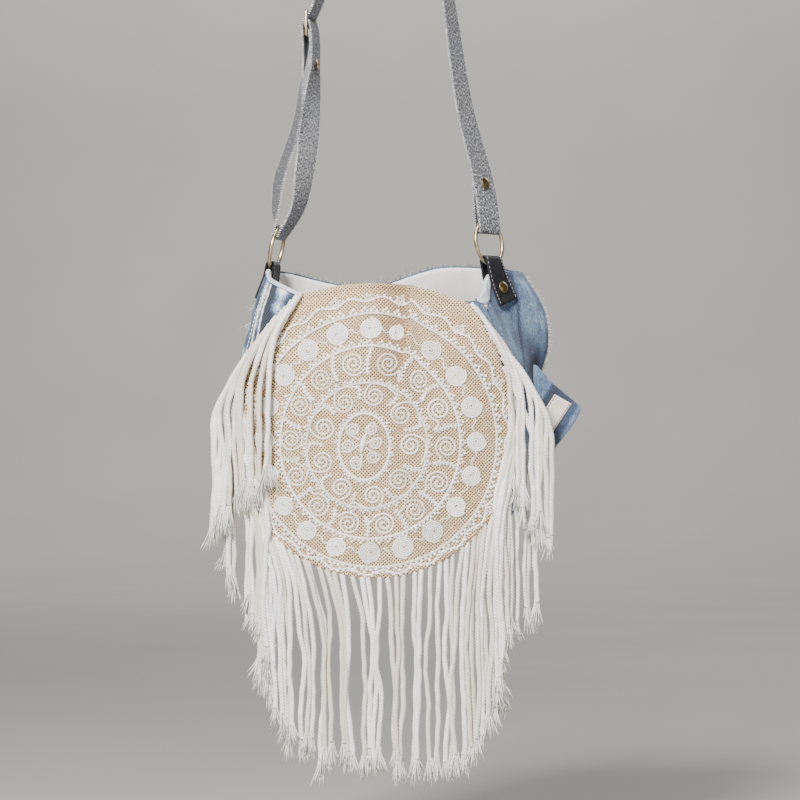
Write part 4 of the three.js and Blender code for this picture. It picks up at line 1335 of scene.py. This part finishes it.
TAB_RIVET_DROP = 13
for side, place in FRAMES.items():
    w = TAB_RIVET_DROP / (float(rim_z(place["t"])) - BOTTOM_Z)
    seat = tab_leg(place, np.zeros(1), w, TAB_GAP + TAB_THICK + CLEARANCE)[0]
    rivet_cap(side + "_tab_rivet", seat, seat - tab_leg(place, np.zeros(1), w, 0.0)[0], "tab_rivet_" + side)

# Strap: webbing on the same route as the part's
LAYER = STRAP_THICK + CLEARANCE
STRAP_FOLD = RING_WIRE + CLEARANCE + STRAP_THICK / 2
STRAP_SEAT = RING_RADIUS + fold_seat(STRAP_WIDTH) + RING_WIRE + CLEARANCE
RIVET_UP_RIGHT = 88
RIVET_DROP_LEFT = 44
TAIL_RIGHT = 16
TAIL_LEFT = 12
FOLD_RUN = 14
BAR_FOLD = SLIDER["bar"] / 2 + CLEARANCE + STRAP_THICK / 2 + 0.3
BEHIND = -(BAR_FOLD + LAYER + 0.2)
right, left = FRAMES["right"], FRAMES["left"]
slider_turn = math.radians(left["turn"])
SLIDER_OUT = np.array([math.sin(slider_turn), -math.cos(slider_turn), 0.0])
SLIDER_CENTRE = np.array([SLIDER["x"], SLIDER["y"], SLIDER["z"]], float)


def slider_at(out, height):
    return SLIDER_CENTRE + out * SLIDER_OUT + [0, 0, height]


def strap_stops():
    """Places along the strap's middle line, each with the turn of its width in degrees."""
    stops = []

    def by_ring(place, *spots):
        stops.extend((place["at"](out, height), place["turn"]) for out, height in spots)

    def by_slider(*spots):
        stops.extend((slider_at(out, height), left["turn"]) for out, height in spots)

    def freely(*spots):
        stops.extend(((x, y, z), turn) for x, y, z, turn in spots)

    round_ring = arc(STRAP_FOLD, math.pi, TURN, 7, STRAP_SEAT)
    round_peg = arc(PEG_RADIUS + STRAP_THICK / 2, 0, math.pi, 9, -PEG_RADIUS)
    y, reach = SLIDER["y"], SLIDER["reach"]
    by_ring(right, (-LAYER / 2, RIVET_UP_RIGHT + TAIL_RIGHT), (-LAYER / 2, RIVET_UP_RIGHT))
    by_ring(right, (-STRAP_FOLD, STRAP_SEAT + FOLD_RUN), *round_ring, (STRAP_FOLD, STRAP_SEAT + FOLD_RUN))
    by_ring(right, (LAYER / 2, RIVET_UP_RIGHT))
    freely((84, -1, -510, 60), (68, 0, -403, 68), (47, 0, -250, 80), (27, 0, -90, 90))
    freely(*((x, 0, z, 90) for x, z in round_peg))
    freely((-28, 0, -90, 90), (-48, 0, -250, 82), (-67, -1, -380, 77))
    by_slider((3.6, reach), (0.4, 7.6), (BEHIND + 1.6, 4.4), (BEHIND, 0), (BEHIND, -reach))
    freely((-91, y, -490, 97), (-95, y, -525, 104), (-103, y, -554, 108), (-114, y, -587, 110),
           (-118.5, y, -622, 104))
    by_ring(left, *round_ring)
    freely((-95, y, -622, 70), (-88, y, -585, 60), (-83, y, -541, 57), (-79, y, -500, 66))
    by_slider((BAR_FOLD + LAYER, -RIVET_DROP_LEFT), (BAR_FOLD + LAYER, -reach), *arc(BAR_FOLD, 0, math.pi, 6))
    by_slider((0.2, -6.5), (BAR_FOLD, -reach), (BAR_FOLD, -RIVET_DROP_LEFT - TAIL_LEFT))
    return stops


STRAP_STEP = 3.2
STRAP_BEND = 0.05
stops = strap_stops()
stop_places = np.array([place for place, _ in stops], float)
stop_turns = np.array([turn for _, turn in stops], float)
shares = np.linspace(0, 1, (len(stops) - 1) * 60 + 1)
dense = catmull_rom(stop_places, shares, False)
gone = gone_along(dense)
STRAP_LENGTH = gone[-1]
stations = []
place = 0.0
bends = np.linalg.norm(np.gradient(unit(np.gradient(dense, axis=0)), axis=0), axis=1)
bends /= np.maximum(np.gradient(gone), 1e-6)
while place < STRAP_LENGTH:
    stations.append(place)
    bend = np.interp(place, gone, bends)
    place += STRAP_STEP if bend < STRAP_BEND else max(0.5, STRAP_STEP * STRAP_BEND / bend)
stations = np.append(stations, STRAP_LENGTH)
strap_line = read_along(stations, gone, dense)
passed = np.interp(stations, gone, shares) * (len(stops) - 1)
turns = np.radians(np.interp(passed, np.arange(len(stops)), stop_turns))
strap_across = np.stack([np.cos(turns), np.sin(turns), np.zeros_like(turns)], -1)
strap_along = unit(np.gradient(strap_line, axis=0))
strap_face = unit(np.cross(strap_along, strap_across))
strap_columns = np.array([-1, -0.985, -0.93, -0.82, -0.4, 0, 0.4, 0.82, 0.93, 0.985, 1]) * STRAP_WIDTH / 2
thick = np.clip((STRAP_WIDTH / 2 - np.abs(strap_columns)) / 1.0, 0.35, 1) * STRAP_THICK / 2
middle = strap_line[:, None] + strap_columns[None, :, None] * strap_across[:, None]
lift = thick[None, :, None] * strap_face[:, None]
# Painted shade on the strap's back strand, where its width turns past 92 degrees, and painted light on the
# front strand low on the left, where it turns under 75 degrees
back_strand_shade = np.clip((np.degrees(turns) - 92) / 10, 0, 1)
ahead = np.clip((75 - np.degrees(turns)) / 12, 0, 1) * (strap_line[:, 0] < -60)
shade = np.repeat(-0.08 - 0.2 * back_strand_shade + 0.16 * ahead, len(strap_columns))
strap = make_sheet("strap_webbing", middle + lift, middle - lift, WEBBING, "webbing",
                   np.stack(np.meshgrid(strap_columns, stations), -1), attributes={"shade": shade})
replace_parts(strap, "strap")

# Light overcast stitches that wrap the webbing's edges
EDGING_PITCH = 2.6
EDGING_LONG = 2.2
EDGING_RADII = np.array([0.3, 0.5, 0.5, 0.45, 0.25])
inward = np.array([2.4, 1.2, 0.2, 0.2, 0.9])
above = np.array([0.55, 0.75, 0.55, -0.2, -0.75]) * STRAP_THICK
edging = Tubes()
for edge in (-1, 1):
    for start in np.arange(3.0, STRAP_LENGTH - 5.0, EDGING_PITCH):
        places = np.linspace(start, start + EDGING_LONG, 5)
        centre, across_way, out = (read_along(places, stations, table)
                                   for table in (strap_line, strap_across, strap_face))
        path = centre + (edge * (STRAP_WIDTH / 2 - inward))[:, None] * across_way + above[:, None] * out
        edging.sweep(path, edge * across_way + 0.6 * out, EDGING_RADII, circle(4), places,
                     rng.uniform(-0.2, 0.25))
strap_stitches = edging.build("strap_edging", GREY_THREAD, "webbing")

strap_top = LAYER / 2 + STRAP_THICK / 2 + CLEARANCE
rivet_cap("right_strap_rivet", right["at"](strap_top, RIVET_UP_RIGHT), right["outward"], "strap_rivet_right")
rivet_cap("left_strap_rivet", slider_at(BAR_FOLD + LAYER + STRAP_THICK / 2 + 0.2, -RIVET_DROP_LEFT),
          SLIDER_OUT, "strap_rivet_left")


def slider_frame():
    """Three-bar slider with rounded corners and bars."""
    tubes = Tubes()
    along_bar = np.array([math.cos(slider_turn), math.sin(slider_turn), 0.0])
    high = np.array([0.0, 0.0, 1.0])
    half_wide = (SLIDER["width"] - SLIDER["bar"]) / 2
    half_high = SLIDER["reach"]
    round_off = 3.0
    corner = []
    for sx, sz, first in ((1, 1, 0), (-1, 1, 90), (-1, -1, 180), (1, -1, 270)):
        for angle in np.radians(np.linspace(first, first + 90, 7)):
            corner.append((sx * (half_wide - round_off) + round_off * math.cos(angle),
                           sz * (half_high - round_off) + round_off * math.sin(angle)))
    corner = np.array(corner + corner[:2])
    loop = SLIDER_CENTRE + corner[:, :1] * along_bar + corner[:, 1:] * high
    middle_bar = np.linspace(-half_wide, half_wide, 12)[:, None] * along_bar + SLIDER_CENTRE
    box = circle(12)
    box = np.sign(box) * np.abs(box) ** 0.55
    for path in (loop, middle_bar):
        tubes.sweep(path, SLIDER_OUT, SLIDER["bar"] / 2, box)
    return tubes.build("strap_slider", BRASS, "brass")


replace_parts(slider_frame(), "slider")

# Folded tail on the right side, with its stitched cream band laid slantwise across it
CUFF = [(0.36, 3), (0.43, 21), (0.51, 49), (0.56, 43), (0.62, 34), (0.69, 22)]
CUFF_T = 0.435
CUFF_GAP = 1.4
CUFF_THICK = 5
CUFF_DROOP = 0.1
CUFF_SWING = 0.25
CUFF_TIP = np.array([207.0, -836.0])
CUFF_INWARD = np.array([-0.861, 0.51])
CUFF_ROWS = 61
CUFF_LEVELS = np.linspace(0.36, 0.69, CUFF_ROWS)
CUFF_SHARES = np.concatenate([[0, 0.01], np.linspace(0.04, 0.95, 30), [0.985, 1.0]])
CUFF_HEM = 9.0
# How far its indigo has faded, by distance in from the hem's edge; the darkest stretch from 28 to 36, just
# past the tape, is painted shadow in the groove there.
CUFF_FADE_AND_SHADE = [(0, 0.5), (1.5, 0.28), (3, 0.2), (8, 0.22), (9.5, 0.06), (28, 0.02), (36, 0.02),
             (39, 0.44), (60, 0.5)]
BAND_LIFTS = (0.3, 1.3)
BAND_CORNERS = np.array([[[200.0, -831.0], [182.0, -820.5]], [[176.0, -867.5], [161.5, -854.0]]])
cuff_roots = np.array([wall_offset(CUFF_T, w, CUFF_GAP) for w in CUFF_LEVELS])


def cuff_place(x, z):
    """Place on the tail's middle face seen at this point from the front."""
    run = np.full(np.shape(x), 20.0)
    for _ in range(5):
        w = np.interp(-(z + CUFF_DROOP * run), -cuff_roots[:, 2], CUFF_LEVELS)
        run = x - np.interp(w, CUFF_LEVELS, cuff_roots[:, 0])
    return np.stack([x, np.interp(w, CUFF_LEVELS, cuff_roots[:, 1]) - CUFF_SWING * run, z], -1)


def front_way(grid):
    """Unit vectors out of a grid, turned to the front."""
    way = unit(np.cross(np.gradient(grid, axis=0), np.gradient(grid, axis=1)))
    return way * np.sign(-way[len(way) // 2, way.shape[1] // 2, 1])


def cuff_puckers(flat):
    return 0.7 * field(flat[..., 0], flat[..., 1], 8, 3.0)


reaches = np.interp(CUFF_LEVELS, [w for w, _ in CUFF], [reach for _, reach in CUFF])
runs = reaches[:, None] * CUFF_SHARES
middle = cuff_roots[:, None] + runs[..., None] * np.array([1.0, -CUFF_SWING, -CUFF_DROOP])
normal = front_way(middle)
from_end = np.minimum(np.arange(CUFF_ROWS), CUFF_ROWS - 1 - np.arange(CUFF_ROWS))
row_ends = np.clip(from_end / 3.0, 0.2, 1)[:, None]
column_ends = np.clip((1 - CUFF_SHARES) / 0.06, 0.3, 1)[None, :]
half_thick = CUFF_THICK / 2 * np.sqrt(row_ends * column_ends)
seen = middle[..., [0, 2]]
deep = (seen - CUFF_TIP) @ CUFF_INWARD
relief = cuff_puckers(seen) + 0.8 * np.clip((CUFF_HEM - deep) / 1.2, 0, 1)
front = middle + normal * (half_thick + relief)[..., None]
back = middle - normal * (half_thick - 0.4 * relief)[..., None]
cuff = make_sheet("cuff_denim", front, back, DENIM_CLOTH, "denim", seen * (2, 1),
                  attributes={"wash_and_shade": np.interp(deep, *zip(*CUFF_FADE_AND_SHADE))})
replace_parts(cuff, "side_cuff")

down = np.linspace(0, 1, 27)[:, None, None]
over = np.linspace(0, 1, 15)[None, :, None]
flat = (1 - down) * ((1 - over) * BAND_CORNERS[0, 0] + over * BAND_CORNERS[0, 1])
flat = flat + down * ((1 - over) * BAND_CORNERS[1, 0] + over * BAND_CORNERS[1, 1])
bed = cuff_place(flat[..., 0], flat[..., 1])
bed_out = front_way(bed)
low, top = (bed + bed_out * (CUFF_THICK / 2 + lift + cuff_puckers(flat))[..., None] for lift in BAND_LIFTS)
turned = np.cross(top[1, 0] - top[0, 0], top[0, 1] - top[0, 0]) @ bed_out[0, 0] > 0
band = make_sheet("cuff_tape", top, low, TRIM, "trim", bed[..., [0, 2]] * (2, 1), turned)
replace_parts(band, "cuff_band")


def running_stitches(tubes, line, out, long, gap, radius):
    """Row of short raised stitches along a line."""
    gone = gone_along(line)
    radii = radius * np.array([0.5, 0.95, 1.0, 0.95, 0.5])
    for start in np.arange(0.6, gone[-1] - long, long + gap):
        add_stitch(tubes, gone, line, out, start, long, radius * 0.5, radii,
                   shade=0.1 + rng.uniform(-0.1, 0.1))


brown_rows = Tubes()
for column in (1, 13):
    running_stitches(brown_rows, top[:, column], bed_out[:, column], long=3.0, gap=0.9, radius=0.6)
cuff_stitches = brown_rows.build("cuff_stitching", BROWN_THREAD, "trim")

# Topstitching down the pouch's seams, hems and frayed edges at its rim
pale_rows, dark_rows, ridges, frays, dark_frays = Tubes(), Tubes(), Tubes(), Tubes(), Tubes()


def wall_spot(t, w, offset):
    """Point off the denim's outer face and the way out of it, by place on the plan and level."""
    t = t % 1.0
    lift = seam_rise(t, w) + ripples(t, w) * (1 - w ** 4) + offset
    return wall_offset(t, w, lift), wall_normal(t, w)


def wall_line(places, levels, offset):
    spots = [wall_spot(t, w, offset) for t, w in zip(places, levels)]
    return (np.array(column) for column in zip(*spots))


seam_levels = np.linspace(0.03, 0.97, 60)
for seam in (0.0, 0.8):
    for shift in (-0.0045, 0.0045):
        line, ways = wall_line(np.full_like(seam_levels, seam + shift), seam_levels, 0.0)
        running_stitches(pale_rows, line, ways, long=3.2, gap=1.2, radius=0.5)
side_levels = np.linspace(0.03, 0.5, 40)
line, ways = wall_line([side_seam(w) - 0.003 for w in side_levels], side_levels, 0.0)
running_stitches(dark_rows, line, ways, long=2.6, gap=1.4, radius=0.4)
navy_stitches = dark_rows.build("navy_topstitch", NAVY_THREAD, "denim")

# Felled seam down the front left corner: two cream ridges
RIDGE_STEPS = 70
for first, last in ((0.0, 0.006), (0.0085, 0.0145)):
    levels = np.linspace(0.012, 0.34, RIDGE_STEPS)
    line, ways = wall_line(np.linspace(first, last, RIDGE_STEPS), levels, 0.3)
    width = 1.15 + 0.25 * np.sin(np.arange(RIDGE_STEPS) * 0.9)
    ridges.sweep(line, ways, width, circle(8, 1.0, 0.75), levels * WALL_HEIGHT)
corner_ridges = ridges.build("corner_ridges", TRIM, "trim")


def add_fray(tubes, place, way, length, radius, shade):
    """One loose fibre from a place, bending as it goes."""
    way = unit(np.asarray(way, float) + [rng.uniform(-0.5, 0.5) for _ in range(3)])
    bend = np.array([rng.uniform(-0.5, 0.5) for _ in range(3)])
    s = np.linspace(0, 1, 5)[:, None]
    path = place + way * length * s + bend * length * s ** 2
    radii = radius * np.linspace(1.0, 0.5, 5)
    tubes.sweep(path, (0.31, -0.9, 0.2), radii, circle(3), s[:, 0] * length, shade)


# Raw edge down the right side's back corner
for w in np.linspace(0.02, 0.46, 300):
    spot, out = wall_spot(0.5 + rng.uniform(-0.006, 0.004), w + rng.uniform(-0.003, 0.003), 0.1)
    add_fray(frays, spot, out + [0.5, -0.3, 0.0], length=rng.uniform(1.6, 4.2), radius=0.3,
             shade=rng.uniform(-0.25, 0.15))
# Back of the rim, with longer threads where it sags
for t in np.linspace(0.53, 0.79, 240):
    at = t + rng.uniform(-0.001, 0.001)
    spot = wall_offset(at, 0.0, ripples(at, 0.0) - rng.uniform(0.2, 1.8))
    sag = math.exp(-((t - 0.68) / 0.05) ** 2)
    length = rng.uniform(1.2, 3.2) + sag * rng.choice((0.0, 0.0, 1.5, 5.0))
    add_fray(dark_frays if rng.random() < 0.55 else frays, spot, (0.0, -0.2, 1.0), length, radius=0.27,
             shade=rng.uniform(-0.2, 0.15))
# Threads hanging off the left side below its tab, and at the right end of the front's rim
for t, w, count, length in ((0.925, 0.115, 7, 12.0), (0.93, 0.19, 7, 10.0), (0.315, 0.02, 16, 5.5)):
    for _ in range(count):
        spot, out = wall_spot(t + rng.uniform(-0.006, 0.006), w + rng.uniform(0.0, 0.02), 0.2)
        add_fray(frays, spot, out + [0.0, 0.0, -0.8], length * rng.uniform(0.5, 1.2), radius=0.3,
                 shade=rng.uniform(-0.1, 0.2))
raw_edges = [frays.build("raw_edge_threads", RAW_EDGE, "denim"),
             dark_frays.build("raw_edge_indigo", NAVY_THREAD, "denim")]

# Pale hems folded over the rim
HEM_STEP = 2.5
HEM_PROUD = 0.9
HEM_THICK = 0.7


def rim_roll(name, first, last, outside, inside, droop=None):
    """Strip folded over the rim from outside to inside, between two places on the plan."""
    count = int(abs(last - first) * GIRTH / HEM_STEP)
    radius = WALL_THICK / 2 + HEM_PROUD
    grids = []
    for half in (HEM_THICK / 2, -HEM_THICK / 2):
        columns = []
        for n, t in enumerate(np.linspace(first, last, count) % 1.0):
            height = float(rim_z(t)) - BOTTOM_Z
            deep = outside * (1 if droop is None else droop(n / (count - 1)))
            centre = ripples(t, 0.0) - WALL_THICK / 2
            face = wall_normal(t, 0.0)
            crown = wall(t, 0.0) + centre * face
            reach = radius + half
            line = [wall_offset(t, drop / height, centre + reach) for drop in np.linspace(deep, 0.5, 6)]
            line += [crown + out * face + [0, 0, up] for out, up in arc(reach, 0, math.pi, 7)[1:-1]]
            line += [wall_offset(t, drop / height, centre - reach) for drop in np.linspace(0.5, inside, 4)]
            columns.append(line)
        grids.append(np.array(columns).transpose(1, 0, 2))
    rows = len(grids[0])
    flat = np.stack(np.meshgrid(np.arange(count) * HEM_STEP, np.arange(rows) * 1.6), -1)
    return make_sheet(name, *grids, PALE_HEM, "trim", flat)


hem_left = rim_roll("rim_hem_left", first=0.975, last=1.075, outside=1.8, inside=4.0)
lapel = rim_roll("rim_hem_right", first=0.297, last=0.384, outside=10.5, inside=6.0,
                 droop=lambda s: 0.12 + 0.88 * math.sin(math.pi * s) ** 0.8)
seam_stitches = pale_rows.build("seam_stitching", WHITE_THREAD, "trim")

# Stage, light and camera
VIEW_CENTRE = (14.8, -40.0, -826.8)
VIEW_WIDTH = 848.0
CAMERA_AWAY = 3200.0


def stage_material(name, colour):
    s = Shader(name, roughness=0.95, specular=0.2)
    shade = s.noise(s.place(), 2.2, 3.0)
    return s.finish(s.ramp(shade, [(0.3, tuple(c * 0.94 for c in colour)), (0.7, colour)]))


def add_stage():
    """Floor and backdrop in one sweep, below the bag and far enough behind it to look from there too."""
    floor, deep, radius, half, near = -1330.0, 6800.0, 1500.0, 6500.0, -6500.0
    turn = np.linspace(0, math.pi / 2, 14)
    profile = [(near, floor)]
    profile += [(deep - radius + radius * math.sin(a), floor + radius - radius * math.cos(a)) for a in turn]
    profile += [(deep, 3200.0)]
    points = [(x, y, z) for y, z in profile for x in (-half, half)]
    mesh = bpy.data.meshes.new("studio_sweep")
    faces = [(2 * i, 2 * i + 1, 2 * i + 3, 2 * i + 2) for i in range(len(profile) - 1)]
    mesh.from_pydata([tuple(c * MM for c in p) for p in points], [], faces)
    mesh.polygons.foreach_set("use_smooth", [True] * len(faces))
    mesh.materials.append(stage_material("pale_sweep", (0.34, 0.325, 0.30)))
    sweep = bpy.data.objects.new("studio_sweep", mesh)
    bpy.context.scene.collection.objects.link(sweep)


def add_light(name, place, target, size, watts, colour):
    data = bpy.data.lights.new(name, "AREA")
    data.shape = "RECTANGLE"
    data.size, data.size_y = size
    data.energy = watts
    data.color = colour
    lamp = bpy.data.objects.new(name, data)
    lamp.location = [c * MM for c in place]
    aim = Vector([(b - a) for a, b in zip(place, target)])
    lamp.rotation_euler = aim.to_track_quat("-Z", "Y").to_euler()
    bpy.context.scene.collection.objects.link(lamp)


add_stage()
LIGHTS = [
    ("key", (-950, -2350, 850), (0, 0, -830), (0.6, 0.6), 245, (1.0, 0.98, 0.95)),
    ("fill", (1900, -2400, -500), (0, 0, -850), (1.8, 1.8), 26, (0.95, 0.97, 1.0)),
    ("top", (150, -500, 1500), (0, 0, -700), (1.2, 1.2), 42, (1.0, 0.99, 0.97)),
    ("rear", (1900, 2700, 900), (0, 0, -850), (1.6, 1.6), 60, (0.97, 0.98, 1.0)),
    ("wall", (0, 4700, 1900), (0, 6800, -600), (4.0, 1.0), 170, (1.0, 0.99, 0.97)),
]
for light in LIGHTS:
    add_light(*light)

world = bpy.data.worlds.new("studio")
world.use_nodes = True
sky = world.node_tree.nodes["Background"]
sky.inputs["Color"].default_value = (0.86, 0.9, 1.0, 1.0)
sky.inputs["Strength"].default_value = 0.19
bpy.context.scene.world = world

camera_data = bpy.data.cameras.new("photo_view")
camera_data.sensor_width = 36.0
camera_data.lens = 36.0 * CAMERA_AWAY / VIEW_WIDTH
camera = bpy.data.objects.new("photo_view", camera_data)
camera.location = (VIEW_CENTRE[0] * MM, (VIEW_CENTRE[1] - CAMERA_AWAY) * MM, VIEW_CENTRE[2] * MM)
camera.rotation_euler = (math.pi / 2, 0, 0)
bpy.context.scene.collection.objects.link(camera)
bpy.context.scene.camera = camera
